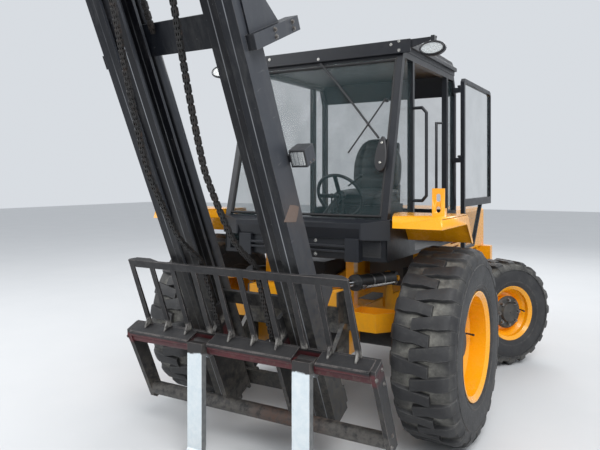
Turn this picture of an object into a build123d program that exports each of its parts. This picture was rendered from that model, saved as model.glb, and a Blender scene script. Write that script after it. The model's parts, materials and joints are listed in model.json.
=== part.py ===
from build123d import *
import os
from math import cos, sin, radians, degrees, atan2, hypot, pi

# Rough terrain forklift, millimetres. The machine faces -Y, its left side is +X, the ground is Z = 0.
# Sizes are measured from the front axle. The finished pieces are moved so that the origin lies on the
# ground under the middle of the machine's whole length.

# Overall layout
WHEELBASE = 1990.0
FORK_LENGTH = 1150.0
REAR_END = 2800.0
HITCH_LENGTH = 75.0
RUN_GAP = 5.0
SEAT_GAP = 0.3

# Front wheels
FRONT_X = 950.0
FRONT_OD = 1250.0
FRONT_TYRE_W = 395.0
FRONT_RIM_R = 322.0
FRONT_FLANGE_R = 347.0
FRONT_RIM_W = 360.0
FRONT_LUGS = 22
FRONT_HUB_R = 150.0
FRONT_DISC_X = -10.0

# Rear steered wheels
REAR_X = 915.0
REAR_OD = 950.0
REAR_TYRE_W = 320.0
REAR_RIM_R = 224.0
REAR_FLANGE_R = 249.0
REAR_RIM_W = 270.0
REAR_LUGS = 20
REAR_HUB_R = 145.0
REAR_DISC_X = 20.0
KINGPIN_X = 715.0
STEER_REST = -35.0

# Tyre and rim sections
LUG_H = 28.0
LUG_SKEW = 21.0
FLANGE_T = 14.0
RIM_T = 10.0
DISC_T = 16.0

# Mast: its own frame has the pivot as origin, s up along the rails and n forward of the pivot
PIVOT_Y = -500.0
PIVOT_Z = 560.0
TILT = 24.5
PIN_R = 30.0
RAIL_X = 453.0
RAIL_WEB = 20.0
RAIL_FLANGE_W = 95.0
RAIL_BACK = 120.0
RAIL_DEPTH = 165.0
RAIL_LOW = -270.0
RAIL_TOP = 3050.0
INNER_WEB = 18.0
INNER_FLANGE_W = 95.0
INNER_DEPTH = 125.0
INNER_LOW = -240.0
INNER_TOP = 3020.0
LIFT_STROKE = 2200.0
BRACE_T = 20.0

# Carriage, in the mast's frame
SHAFT_S = 297.8
SHAFT_N = 413.6
SHAFT_R = 35.0
TUBE_S = -140.0
TUBE_N = 411.0
TUBE_R = 44.0
CARRIAGE_X = 880.0
END_PLATE_T = 30.0
BACKREST_X = 770.0
BACKREST_TOP = 836.0
BACKREST_N = 323.0
BACKREST_FOOT_N = 352.0
BAR_T = 14.0
BAR_W = 34.0
BAR_COUNT = 10

# Forks: hang from the shaft with their shanks upright and the blades flat on the ground
FORK_XS = {"left": 455.0, "right": -285.0}
FORK_W = 112.0
FORK_T = 45.0
FORK_EYE_R = 54.0

# Chassis
NOSE_Y = -430.0
FRAME_X = 355.0
PLATE_T = 25.0
FRAME_LOW = 520.0
FRAME_HIGH = 800.0
EAR_X = 385.0
TRAY_X = 640.0

# Tilt cylinders
TILT_X = 412.0
TILT_REAR_Y = 380.0
TILT_REAR_Z = 950.0
TILT_MAST_S = 552.7
TILT_MAST_N = 26.0
BARREL_R = 48.0
ROD_R = 24.0
BARREL_LENGTH = 690.0
EYE_R = 46.0
EYE_PIN_R = 20.0
EYE_DRIFT = 12.0

# Cab
CAB_X = 640.0
CAB_FLOOR = 1160.0
CAB_SILL = 1430.0
CAB_TOP = 2560.0
ROOF_TOP = 2680.0
ROOF_SIDE = 662.0
FASCIA_LOW = 2540.0
FASCIA_HIGH = 2632.0
SCREEN_FOOT_Y = -310.0
COWL_Y = -385.0
COWL_X = 490.0
COWL_LOW = 1300.0
COWL_FOOT = 1155.0
SCREEN_HEAD_Y = -20.0
DOOR_FRONT_Y = 200.0
DOOR_REAR_Y = 965.0
CAB_REAR_Y = 1240.0
REAR_HEADER_Z = 2400.0
POST_T = 42.0
DOOR_POST_T = 34.0
GLASS_T = 6.0
DOOR_T = 34.0
DOOR_FRAME = 36.0
DOOR_BOTTOM = 1095.0
DOOR_MID = 1455.0
DOOR_TOP = 2545.0
HINGE_X = 685.0
HINGE_Y = 1175.0
HINGE_GAP = 22.0
HANDLE_R = 11.0

# Rear body
HOOD_X = 500.0
HOOD_FRONT_Y = 1290.0
HOOD_TOP = 1390.0
WEIGHT_TOP = 980.0
WEIGHT_FRONT_Y = 2540.0
HOOD_LOW = WEIGHT_TOP + SEAT_GAP
SHEET_T = 5.0
WEIGHT_X = 600.0
ENGINE_X = 260.0
ENGINE_FRONT_Y = 1450.0
ENGINE_REAR_Y = 2150.0
ENGINE_TOP = 1260.0
TANK_X = 700.0
TANK_FRONT_Y = 720.0
TANK_REAR_Y = 1400.0
TANK_LOW = 560.0
TANK_TOP = 975.0
STEP_X = 850.0

# Fenders over the front wheels
FENDER_GAP = 25.0
FENDER_X = 1085.0
FENDER_T = 6.0
FENDER_FRONT = 600.0
FENDER_RISE = 215.0
FENDER_SKIRT = 65.0
BRACKET_X = 985.0
BRACKET_W = 78.0
BRACKET_H = 165.0
BRACKET_Y = -350.0

# Where the origin lies, measured from the front axle
FRONT_TIP = PIVOT_Y - SHAFT_S * sin(radians(TILT)) - SHAFT_N * cos(radians(TILT)) - SHAFT_R - 5.0 - FORK_T - FORK_LENGTH
ORIGIN_Y = (REAR_END + HITCH_LENGTH + FRONT_TIP) / 2.0

os.makedirs("parts", exist_ok=True)


def box(x0, x1, y0, y1, z0, z1):
    """A block between two corners."""
    return Pos((x0 + x1) / 2, (y0 + y1) / 2, (z0 + z1) / 2) * Box(abs(x1 - x0), abs(y1 - y0), abs(z1 - z0))


def rod(axis, start, end, radius, a, b):
    """A round bar along one axis between two places, with its other two coordinates a and b."""
    length = end - start
    bar = Cylinder(radius, length, align=(Align.CENTER, Align.CENTER, Align.MIN))
    if axis == "x":
        return Pos(start, a, b) * Rot(0, 90, 0) * bar
    if axis == "y":
        return Pos(a, start, b) * Rot(-90, 0, 0) * bar
    return Pos(a, b, start) * bar


def between(start, end, radius):
    """A round bar between two points."""
    a, b = Vector(*start), Vector(*end)
    bar = Cylinder(radius, (b - a).length, align=(Align.CENTER, Align.CENTER, Align.MIN))
    return Plane(origin=a, z_dir=b - a).location * bar


def side_plate(points, x0, x1):
    """A plate cut to an outline of (y, z) points, between two places along X."""
    outline = Polyline([(p[0], p[1]) for p in points], close=True)
    plate = extrude(make_face(outline), x1 - x0)
    return Plane(origin=(x0, 0, 0), x_dir=(0, 1, 0), z_dir=(1, 0, 0)).location * plate


def plan_plate(points, z0, z1):
    """A plate cut to an outline of (x, y) points, between two heights."""
    outline = Polyline([(p[0], p[1]) for p in points], close=True)
    return Pos(0, 0, z0) * extrude(make_face(outline), z1 - z0)


def front_plate(points, y0, y1):
    """A plate cut to an outline of (x, z) points, between two places along Y."""
    outline = Polyline([(p[0], p[1]) for p in points], close=True)
    plate = extrude(make_face(outline), y1 - y0)
    return Plane(origin=(0, y1, 0), x_dir=(1, 0, 0), z_dir=(0, -1, 0)).location * plate


def mirrored(shape):
    """The same piece on the other side of the machine."""
    return mirror(shape, about=Plane.YZ)


def both(shape):
    """A piece and its mirror image."""
    return shape + mirrored(shape)


def lean(shape):
    """Takes a piece from the mast's own upright frame to where it stands, leaning forward."""
    return Pos(0, PIVOT_Y, PIVOT_Z) * Rot(TILT, 0, 0) * shape


def mast_point(s, n):
    """Where a point of the mast's frame lies in the machine's side view."""
    t = radians(TILT)
    return PIVOT_Y - s * sin(t) - n * cos(t), PIVOT_Z + s * cos(t) - n * sin(t)


def steered(shape, side):
    """Turns a piece of a rear wheel about its kingpin as the wheel stands."""
    x = KINGPIN_X * side
    return Pos(x, WHEELBASE, 0) * Rot(0, 0, STEER_REST) * Pos(-x, -WHEELBASE, 0) * shape


def save(node, shape):
    """Writes one node, moved to the machine's origin."""
    moved = Pos(0, -ORIGIN_Y, 0) * shape
    moved.label = node
    export_step(moved, f"parts/{node}.step")


def revolve_x(points):
    """A body turned about the X axis from an outline of (x, radius) points."""
    outline = make_face(Polyline([(p[0], p[1]) for p in points], close=True))
    return revolve(outline, Axis.X)


def faceted(sections, count):
    """A body with flat facets about the X axis through even polygons at (x, radius) places."""
    wires = []
    for x, r in sections:
        points = []
        for i in range(count):
            a = 2 * pi * (i + 0.25) / count
            points.append((x, r * cos(a), r * sin(a)))
        wires.append(Wire.make_polygon([Vector(*p) for p in points], close=True))
    return Solid.make_loft(wires, True)


# Wheels

def tyre(width, od, rim_r, flange_r, rim_w, lugs):
    """A tyre about the X axis: faceted carcass with two rows of bars, the rows half a pitch apart."""
    r = od / 2
    half = width / 2
    seat = rim_w / 2 - FLANGE_T - SEAT_GAP
    bulge = rim_r + 0.55 * (r - rim_r)
    ground = r - LUG_H
    carcass = faceted([(-seat, flange_r + 4), (-half, bulge), (-half + 12, r - 80), (-half + 38, ground),
                       (half - 38, ground), (half - 12, r - 80), (half, bulge), (seat, flange_r + 4)], lugs)
    carcass += rod("x", -seat, seat, flange_r + 6, 0, 0)
    carcass -= rod("x", -seat - 1, seat + 1, rim_r + SEAT_GAP, 0, 0)
    pitch = 2 * pi * r / lugs
    thick = 0.52 * pitch
    inner = -0.10 * width
    reach = thick / 2 * cos(radians(LUG_SKEW)) + (half - inner) / 2 * sin(radians(LUG_SKEW))
    top = (r * r - reach * reach) ** 0.5
    section = [(inner, ground - 12), (inner + 6, top), (half - 24, top), (half - 10, r - 66), (half - 60, r - 72)]
    profile = make_face(Polyline([(x, z) for x, z in section], close=True))
    bar = Plane(origin=(0, thick / 2, 0), x_dir=(1, 0, 0), z_dir=(0, -1, 0)).location * extrude(profile, thick)
    middle = (inner + half) / 2
    bar = Pos(middle, 0, 0) * Rot(0, 0, LUG_SKEW) * Pos(-middle, 0, 0) * bar
    other = Rot(0, 0, 180) * bar
    step = 360.0 / lugs
    bars = []
    for i in range(lugs):
        bars.append(Rot(i * step, 0, 0) * bar)
        bars.append(Rot((i + 0.5) * step, 0, 0) * other)
    return carcass.fuse(*bars)


def rim(rim_r, flange_r, rim_w, hub_r, disc_x):
    """A rim about the X axis, its outer side towards +X, with its disc and hub cap deep inside."""
    half = rim_w / 2
    inner_r = rim_r - RIM_T
    shape = revolve_x([
        (-half, flange_r), (-half, inner_r), (disc_x - DISC_T, inner_r - 28), (disc_x - DISC_T, hub_r * 0.4),
        (disc_x, hub_r * 0.4), (disc_x, inner_r - 45), (disc_x + 60, inner_r), (half - 20, inner_r),
        (half, flange_r - 8), (half, flange_r), (half - FLANGE_T, flange_r), (half - FLANGE_T, rim_r),
        (-half + FLANGE_T, rim_r), (-half + FLANGE_T, flange_r)])
    cap = revolve_x([(disc_x - 1, hub_r * 0.4 - 1), (disc_x - 1, hub_r), (disc_x + 55, hub_r), (disc_x + 70, hub_r - 18),
                     (disc_x + 70, hub_r * 0.62), (disc_x + 95, hub_r * 0.55), (disc_x + 95, hub_r * 0.4 - 1)])
    return shape + cap


front_tyre = tyre(FRONT_TYRE_W, FRONT_OD, FRONT_RIM_R, FRONT_FLANGE_R, FRONT_RIM_W, FRONT_LUGS)
front_rim = rim(FRONT_RIM_R, FRONT_FLANGE_R, FRONT_RIM_W, FRONT_HUB_R, FRONT_DISC_X)
rear_tyre = tyre(REAR_TYRE_W, REAR_OD, REAR_RIM_R, REAR_FLANGE_R, REAR_RIM_W, REAR_LUGS)
rear_rim = rim(REAR_RIM_R, REAR_FLANGE_R, REAR_RIM_W, REAR_HUB_R, REAR_DISC_X)
front_place = Pos(FRONT_X, 0, FRONT_OD / 2)
rear_place = Pos(REAR_X, WHEELBASE, REAR_OD / 2)
for side_name, side in (("left", 1), ("right", -1)):
    flip = (lambda shape: shape) if side == 1 else mirrored
    save(f"tyre_front_{side_name}", flip(front_place * front_tyre))
    save(f"rim_front_{side_name}", flip(front_place * front_rim))
    save(f"tyre_rear_{side_name}", steered(flip(rear_place * rear_tyre), side))
    save(f"rim_rear_{side_name}", steered(flip(rear_place * rear_rim), side))

# Front axle: differential case, tubes, brake drums and stub shafts into the hub caps
AXLE_SEAT_Z = FRONT_OD / 2 + 115
hub_end = FRONT_X + FRONT_DISC_X - DISC_T - SEAT_GAP
front_z = FRONT_OD / 2
front_axle = Pos(0, 0, front_z) * revolve_x([
    (-hub_end, 0), (-hub_end, 165), (-hub_end + 150, 165), (-hub_end + 175, 85), (-260, 85), (-120, 185),
    (120, 185), (260, 85), (hub_end - 175, 85), (hub_end - 150, 165), (hub_end, 165), (hub_end, 0)])
front_axle += both(rod("x", hub_end - 10, FRONT_X + FRONT_DISC_X + 60, FRONT_HUB_R * 0.38, 0, front_z))
front_axle += both(box(FRAME_X - 70, FRAME_X + 25, -90, 90, front_z, AXLE_SEAT_Z - SEAT_GAP))
save("front_axle", front_axle)

# Rear axle: beam with a raised middle pivot, fork ends over the kingpins, steering cylinder behind
rear_z = REAR_OD / 2
arm_x = KINGPIN_X
TRUNNION_Z = rear_z + 125
STEER_ARM = 185.0
STEER_CYL_Y = WHEELBASE + STEER_ARM
STEER_CYL_Z = rear_z + 10
rear_axle = box(-arm_x + 90, arm_x - 90, WHEELBASE - 65, WHEELBASE + 65, rear_z - 60, rear_z + 60)
rear_axle += plan_plate([(-150, WHEELBASE - 65), (-90, WHEELBASE - 110), (90, WHEELBASE - 110), (150, WHEELBASE - 65),
                         (150, WHEELBASE + 60), (-150, WHEELBASE + 60)], rear_z - 105, rear_z + 80)
rear_axle += rod("y", WHEELBASE - 65, WHEELBASE + 65, 60, 0, TRUNNION_Z)
rear_axle -= rod("y", WHEELBASE - 120, WHEELBASE + 90, PIN_R + SEAT_GAP, 0, TRUNNION_Z)
for z0, z1 in ((rear_z + 105, rear_z + 145), (rear_z - 145, rear_z - 105)):
    rear_axle += both(box(arm_x - 150, arm_x + 50, WHEELBASE - 50, WHEELBASE + 50, z0, z1))
rear_axle += both(box(arm_x - 170, arm_x - 95, WHEELBASE - 65, WHEELBASE + 65, rear_z - 145, rear_z + 145))
rear_axle -= both(rod("z", rear_z - 150, rear_z + 150, 24 + SEAT_GAP, KINGPIN_X, WHEELBASE))
rear_axle += both(box(120, 160, WHEELBASE + 60, STEER_CYL_Y - 30, STEER_CYL_Z - 25, STEER_CYL_Z + 25))
rear_axle += rod("x", -190, 190, 40, STEER_CYL_Y, STEER_CYL_Z)
rear_axle -= rod("x", -191, 191, 20.5, STEER_CYL_Y, STEER_CYL_Z)
save("rear_axle", rear_axle)
steer_shift = -STEER_ARM * sin(radians(STEER_REST))
steer_rod = rod("x", -470 + steer_shift, 470 + steer_shift, 20, STEER_CYL_Y, STEER_CYL_Z)
save("steer_rod", steer_rod)

for side_name, side in (("left", 1), ("right", -1)):
    flip = (lambda shape: shape) if side == 1 else mirrored
    knuckle = rod("z", rear_z - 100, rear_z + 100, 62, KINGPIN_X, WHEELBASE)
    knuckle += rod("z", rear_z - 150, rear_z + 150, 24, KINGPIN_X, WHEELBASE)
    knuckle += rod("x", KINGPIN_X, REAR_X + REAR_DISC_X - DISC_T - SEAT_GAP, 90, WHEELBASE, rear_z)
    knuckle += rod("x", REAR_X, REAR_X + REAR_DISC_X + 60, REAR_HUB_R * 0.38, WHEELBASE, rear_z)
    save(f"knuckle_{side_name}", steered(flip(knuckle), side))

# Chassis: two side plates, nose with the mast pivots, trays beside it, crossmembers
frame_side = side_plate([(NOSE_Y, 700), (-400, 700), (-330, FRAME_LOW), (WEIGHT_FRONT_Y - SEAT_GAP, FRAME_LOW + 60),
                         (WEIGHT_FRONT_Y - SEAT_GAP, FRAME_HIGH + 120), (1500, FRAME_HIGH + 120), (700, FRAME_HIGH),
                         (-200, FRAME_HIGH), (-300, 960), (NOSE_Y, 960)], FRAME_X - PLATE_T, FRAME_X)
chassis = both(frame_side)
chassis -= box(-500, 500, -100, 100, 0, AXLE_SEAT_Z)
chassis += box(-FRAME_X, FRAME_X, NOSE_Y, NOSE_Y + PLATE_T, 700, 960)
chassis += box(-FRAME_X, FRAME_X, NOSE_Y, -300, 935, 960)
CROSS_TOP = 690.0
for y in (700.0, 1500.0, 2330.0):
    chassis += box(-FRAME_X, FRAME_X, y, y + 20, FRAME_LOW + 80, CROSS_TOP)
for y in (WHEELBASE - 90, WHEELBASE + 70):
    chassis += box(-FRAME_X, FRAME_X, y, y + 20, TRUNNION_Z - 35, CROSS_TOP)
chassis += rod("y", WHEELBASE - 85, WHEELBASE + 85, PIN_R, 0, TRUNNION_Z)
ear = side_plate([(PIVOT_Y - 50, PIVOT_Z - 20), (PIVOT_Y - 30, PIVOT_Z - 55), (PIVOT_Y + 40, PIVOT_Z - 55),
                  (-250, FRAME_LOW + 30), (-250, 720), (-400, 760), (PIVOT_Y - 40, PIVOT_Z + 60)],
                 EAR_X - 30, EAR_X)
chassis += both(ear)
chassis += both(rod("x", EAR_X - 20, EAR_X + 70, PIN_R, PIVOT_Y, PIVOT_Z))
lug = side_plate([(TILT_REAR_Y - 70, FRAME_HIGH), (TILT_REAR_Y + 90, FRAME_HIGH), (TILT_REAR_Y + 30, TILT_REAR_Z + 45),
                  (TILT_REAR_Y - 30, TILT_REAR_Z + 45)], TILT_X - 60, TILT_X - 40)
chassis += both(lug + box(FRAME_X - 5, TILT_X - 40, TILT_REAR_Y - 70, TILT_REAR_Y + 90, FRAME_HIGH - 60, FRAME_HIGH))
chassis += both(rod("x", TILT_X - 45, TILT_X + 40, EYE_PIN_R, TILT_REAR_Y, TILT_REAR_Z))
for y in (-200.0, 1130.0):
    chassis += both(box(FRAME_X - 60, FRAME_X, y, y + 60, FRAME_HIGH - 10, CAB_FLOOR - SEAT_GAP))
tray_plan = [(FRAME_X - 3, -330), (TRAY_X - 70, -330), (TRAY_X + 25, -215), (TRAY_X + 25, -130), (FRAME_X - 3, -130)]
tray_hollow = [(FRAME_X + 30, -320), (TRAY_X - 76, -320), (TRAY_X + 15, -210), (TRAY_X + 15, -140), (FRAME_X + 30, -140)]
tray = plan_plate(tray_plan, 705, 825) - plan_plate(tray_hollow, 715, 826)
tray += box(FRAME_X - 3, FRAME_X + 45, -345, -329, 705, 955)
chassis += both(tray)
save("chassis_frame", chassis)

# Counterweight with a tow hitch of two plates
TOW_R = 20.0
TOW_LOW = 600.0
TOW_HIGH = 710.0
tow_y = REAR_END + 40
weight = box(-480, 480, WEIGHT_FRONT_Y, REAR_END - 140, 520, WEIGHT_TOP)
weight += plan_plate([(-WEIGHT_X, REAR_END - 140), (-WEIGHT_X, REAR_END - 55), (-WEIGHT_X + 90, REAR_END),
                      (WEIGHT_X - 90, REAR_END), (WEIGHT_X, REAR_END - 55), (WEIGHT_X, REAR_END - 140)], 560, WEIGHT_TOP)
for z0 in (TOW_LOW, TOW_HIGH - 20):
    weight += plan_plate([(-75, REAR_END - 2), (-45, REAR_END + HITCH_LENGTH), (45, REAR_END + HITCH_LENGTH),
                          (75, REAR_END - 2)], z0, z0 + 20)
weight -= rod("z", TOW_LOW - 10, TOW_HIGH + 10, TOW_R, 0, tow_y)
hood_pin_y = REAR_END - 12
hood_pin_z = WEIGHT_TOP + 24
weight += both(rod("x", 300, 400, 8, hood_pin_y, hood_pin_z)
               + box(300, 320, hood_pin_y - 8, REAR_END, WEIGHT_TOP - 5, hood_pin_z))
save("counterweight", weight)

save("engine_block", box(-ENGINE_X, ENGINE_X, ENGINE_FRONT_Y, ENGINE_REAR_Y, CROSS_TOP + SEAT_GAP, ENGINE_TOP))

# Hood: sides with louvres, top and rear grille, hinged over the counterweight
hood_end = REAR_END - 20
hood_outline = [(-HOOD_X, HOOD_LOW), (-HOOD_X, HOOD_TOP - 30), (-HOOD_X + 30, HOOD_TOP), (HOOD_X - 30, HOOD_TOP),
                (HOOD_X, HOOD_TOP - 30), (HOOD_X, HOOD_LOW)]
inner_outline = [(-HOOD_X + SHEET_T, HOOD_LOW - 1), (-HOOD_X + SHEET_T, HOOD_TOP - 32), (-HOOD_X + 32, HOOD_TOP - SHEET_T),
                 (HOOD_X - 32, HOOD_TOP - SHEET_T), (HOOD_X - SHEET_T, HOOD_TOP - 32), (HOOD_X - SHEET_T, HOOD_LOW - 1)]
hood = front_plate(hood_outline, HOOD_FRONT_Y, hood_end)
hood -= front_plate(inner_outline, HOOD_FRONT_Y - 1, hood_end - SHEET_T)
LOUVRE_PITCH = 38.0
LOUVRE_ROWS = 7
LOUVRE_LENGTH = 260.0
for row in range(LOUVRE_ROWS):
    z = HOOD_LOW + 75 + row * LOUVRE_PITCH
    for y in (HOOD_FRONT_Y + 260, HOOD_FRONT_Y + 600):
        hood -= box(-HOOD_X - 1, HOOD_X + 1, y, y + LOUVRE_LENGTH, z, z + 14)
    hood -= box(-HOOD_X + 130, HOOD_X - 130, hood_end - SHEET_T - 1, hood_end + 1, z, z + 18)
hood_ear = box(335, 375, hood_end - 2, hood_pin_y + 12, hood_pin_z - 12, hood_pin_z + 30)
hood += both(hood_ear - rod("x", 330, 380, 8 + SEAT_GAP, hood_pin_y, hood_pin_z))
save("hood", hood)

# Side tanks with steps
tank = plan_plate([(FRAME_X + SEAT_GAP, TANK_FRONT_Y), (TANK_X - 40, TANK_FRONT_Y), (TANK_X, TANK_FRONT_Y + 40),
                   (TANK_X, TANK_REAR_Y - 40), (TANK_X - 40, TANK_REAR_Y), (FRAME_X + SEAT_GAP, TANK_REAR_Y)],
                  TANK_LOW, TANK_TOP)
for z in (TANK_LOW, TANK_LOW + 270):
    step = box(TANK_X - 10, STEP_X, TANK_FRONT_Y + 60, TANK_FRONT_Y + 400, z, z + 15)
    step += box(STEP_X - 8, STEP_X, TANK_FRONT_Y + 60, TANK_FRONT_Y + 400, z, z + 45)
    tank += step
save("side_tanks", both(tank))

# Fenders over the front wheels: folded sheet with a drop at the front and a slope down behind
fender_top = FRONT_OD + FENDER_GAP + FENDER_RISE - 20
fender_low = fender_top - FENDER_SKIRT
fender_end = FRONT_OD + FENDER_GAP
outer_side = [(-FENDER_FRONT, fender_low), (-FENDER_FRONT + 22, fender_top), (-60, fender_top), (72, fender_end),
              (46, fender_end - 4), (-78, fender_low)]
hollow_side = [(-FENDER_FRONT - 1 + FENDER_T, fender_low - 2), (-FENDER_FRONT + 22 + FENDER_T, fender_top - FENDER_T),
               (-64, fender_top - FENDER_T), (66, fender_end - 2), (60, fender_end - 30), (-100, fender_end - 30)]
fender = side_plate(outer_side + [], CAB_X + SEAT_GAP, FENDER_X)
top_edge = fender.edges().filter_by(Axis.Y).sort_by(Axis.Z)[-2:].sort_by(Axis.X)[-1]
fender = fillet(top_edge, 26)
fender_under = side_plate(hollow_side, CAB_X - 1, FENDER_X - FENDER_T)
fender = fender - fender_under
bracket = box(BRACKET_X - BRACKET_W / 2, BRACKET_X + BRACKET_W / 2, BRACKET_Y, BRACKET_Y + 8, fender_top - 10, fender_top + BRACKET_H)
bracket += box(BRACKET_X + BRACKET_W / 2 - 8, BRACKET_X + BRACKET_W / 2, BRACKET_Y, BRACKET_Y + 45, fender_top - 4, fender_top + 45)
for z, length in ((fender_top + 98, 22), (fender_top + 32, 12)):
    slot = rod("y", BRACKET_Y - 5, BRACKET_Y + 15, 13, BRACKET_X, z) + rod("y", BRACKET_Y - 5, BRACKET_Y + 15, 13, BRACKET_X, z + length)
    bracket -= slot + box(BRACKET_X - 13, BRACKET_X + 13, BRACKET_Y - 5, BRACKET_Y + 15, z, z + length)
save("fenders", both(fender + bracket))

# Cab
floor = box(-CAB_X, CAB_X, SCREEN_FOOT_Y, CAB_REAR_Y, CAB_FLOOR, CAB_FLOOR + 25)
save("cab_floor", floor)
low = CAB_FLOOR + 25
inner_cab = CAB_X - POST_T
a_post = side_plate([(SCREEN_FOOT_Y, low), (SCREEN_FOOT_Y + POST_T, low), (SCREEN_FOOT_Y + POST_T, CAB_SILL),
                     (SCREEN_HEAD_Y + POST_T, CAB_TOP), (SCREEN_HEAD_Y, CAB_TOP), (SCREEN_FOOT_Y, CAB_SILL)], inner_cab, CAB_X)
posts = a_post + box(inner_cab, CAB_X, DOOR_FRONT_Y - DOOR_POST_T, DOOR_FRONT_Y, low, CAB_TOP)
posts += box(inner_cab, CAB_X, DOOR_REAR_Y, DOOR_REAR_Y + POST_T, low, CAB_TOP)
posts += side_plate([(CAB_REAR_Y - POST_T, low), (CAB_REAR_Y, low), (CAB_REAR_Y, CAB_TOP - 150), (CAB_REAR_Y - 70, CAB_TOP),
                     (CAB_REAR_Y - 70 - POST_T, CAB_TOP), (CAB_REAR_Y - POST_T, CAB_TOP - 160)], inner_cab, CAB_X)
posts += box(inner_cab, CAB_X, SCREEN_HEAD_Y, CAB_REAR_Y - 70, CAB_TOP - POST_T, CAB_TOP)
posts += box(inner_cab, CAB_X, SCREEN_FOOT_Y, DOOR_FRONT_Y, low, low + 40)
posts += box(inner_cab, CAB_X, DOOR_REAR_Y, CAB_REAR_Y, low, CAB_SILL)
frame = both(posts)
frame += box(-CAB_X, CAB_X, SCREEN_HEAD_Y, SCREEN_HEAD_Y + POST_T, CAB_TOP - POST_T, CAB_TOP)
rear_head = side_plate([(CAB_REAR_Y - 16, REAR_HEADER_Z), (CAB_REAR_Y, REAR_HEADER_Z), (CAB_REAR_Y, CAB_TOP - 150),
                        (CAB_REAR_Y - 70, CAB_TOP), (CAB_REAR_Y - 90, CAB_TOP)], -CAB_X, CAB_X)
frame += rear_head + box(-CAB_X, CAB_X, CAB_REAR_Y - POST_T, CAB_REAR_Y, low, CAB_SILL)
hinge_z = (1290.0, 1850.0, 2440.0)
for z in hinge_z:
    frame += box(CAB_X - 5, HINGE_X + 12, HINGE_Y - 15, HINGE_Y + 15, z - 20, z + 20)
    frame += box(CAB_X - 5, CAB_X + 20, HINGE_Y - 15, CAB_REAR_Y - POST_T + 15, z - 20, z + 20)
    frame += rod("z", z - 20, z + 42, 9, HINGE_X, HINGE_Y)
grab_y = DOOR_FRONT_Y - 26
grab_x = CAB_X + 95
for z in (1540.0, 2190.0):
    frame += between((CAB_X - 5, grab_y, z), (grab_x - 30, grab_y, z), HANDLE_R)
frame += between((grab_x - 30, grab_y, 1540), (grab_x, grab_y, 1575), HANDLE_R)
frame += between((grab_x - 30, grab_y, 2190), (grab_x, grab_y, 2155), HANDLE_R)
frame += between((grab_x, grab_y, 1575), (grab_x, grab_y, 2155), HANDLE_R)
for x, z in ((grab_x, 1575), (grab_x, 2155), (grab_x - 30, 1540), (grab_x - 30, 2190)):
    frame += Pos(x, grab_y, z) * Sphere(HANDLE_R)
rear_grab = CAB_X - 80
rear_grab_y = DOOR_REAR_Y - 20
for z in (1580.0, 2150.0):
    frame += between((rear_grab, rear_grab_y, z), (CAB_X - 30, DOOR_REAR_Y + 12, z), HANDLE_R - 2)
frame += between((rear_grab, rear_grab_y, 1572), (rear_grab, rear_grab_y, 2158), HANDLE_R)
save("cab_frame", frame)

# Roof: plate with drip rails and a bolted fascia at the front
roof = side_plate([(SCREEN_HEAD_Y - 20, CAB_TOP), (CAB_REAR_Y - 65, CAB_TOP), (CAB_REAR_Y - 60, CAB_TOP + 50),
                   (CAB_REAR_Y - 140, ROOF_TOP - 10), (250, ROOF_TOP), (SCREEN_HEAD_Y - 20, FASCIA_HIGH - 6)],
                  -CAB_X - 5, CAB_X + 5)
roof += both(box(CAB_X, ROOF_SIDE + 8, SCREEN_HEAD_Y - 20, CAB_REAR_Y - 80, CAB_TOP + 32, CAB_TOP + 52))
roof += both(box(ROOF_SIDE, ROOF_SIDE + 8, SCREEN_HEAD_Y - 20, CAB_REAR_Y - 80, CAB_TOP + 32, CAB_TOP + 66))
roof += box(-ROOF_SIDE - 38, ROOF_SIDE + 38, SCREEN_HEAD_Y - 30, SCREEN_HEAD_Y - 18, FASCIA_LOW, FASCIA_HIGH)
save("cab_roof", roof)

glass_x = CAB_X - POST_T / 2
screen = side_plate([(SCREEN_FOOT_Y + 10, CAB_SILL), (SCREEN_FOOT_Y + 10 + GLASS_T, CAB_SILL),
                     (SCREEN_HEAD_Y + 10 + GLASS_T - 12, CAB_TOP - POST_T), (SCREEN_HEAD_Y - 2, CAB_TOP - POST_T)],
                    -inner_cab, inner_cab)
side_glass = side_plate([(SCREEN_FOOT_Y + POST_T, low + 40), (DOOR_FRONT_Y - DOOR_POST_T, low + 40),
                         (DOOR_FRONT_Y - DOOR_POST_T, CAB_TOP - POST_T), (SCREEN_HEAD_Y + POST_T - 10, CAB_TOP - POST_T),
                         (SCREEN_FOOT_Y + POST_T, CAB_SILL)], glass_x - 3, glass_x + 3)
quarter = side_plate([(DOOR_REAR_Y + POST_T, CAB_SILL), (CAB_REAR_Y - POST_T, CAB_SILL), (CAB_REAR_Y - POST_T, CAB_TOP - 160),
                      (CAB_REAR_Y - 70 - POST_T + 17, CAB_TOP - POST_T), (DOOR_REAR_Y + POST_T, CAB_TOP - POST_T)],
                     glass_x - 3, glass_x + 3)
rear_glass = box(-inner_cab, inner_cab, CAB_REAR_Y - 14, CAB_REAR_Y - 14 + GLASS_T, CAB_SILL, REAR_HEADER_Z)
right_glass = box(-glass_x - 3, -glass_x + 3, DOOR_FRONT_Y, DOOR_REAR_Y, low, CAB_TOP - POST_T)
glass = screen + both(side_glass + quarter) + rear_glass + right_glass
save("cab_glass", glass)

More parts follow.
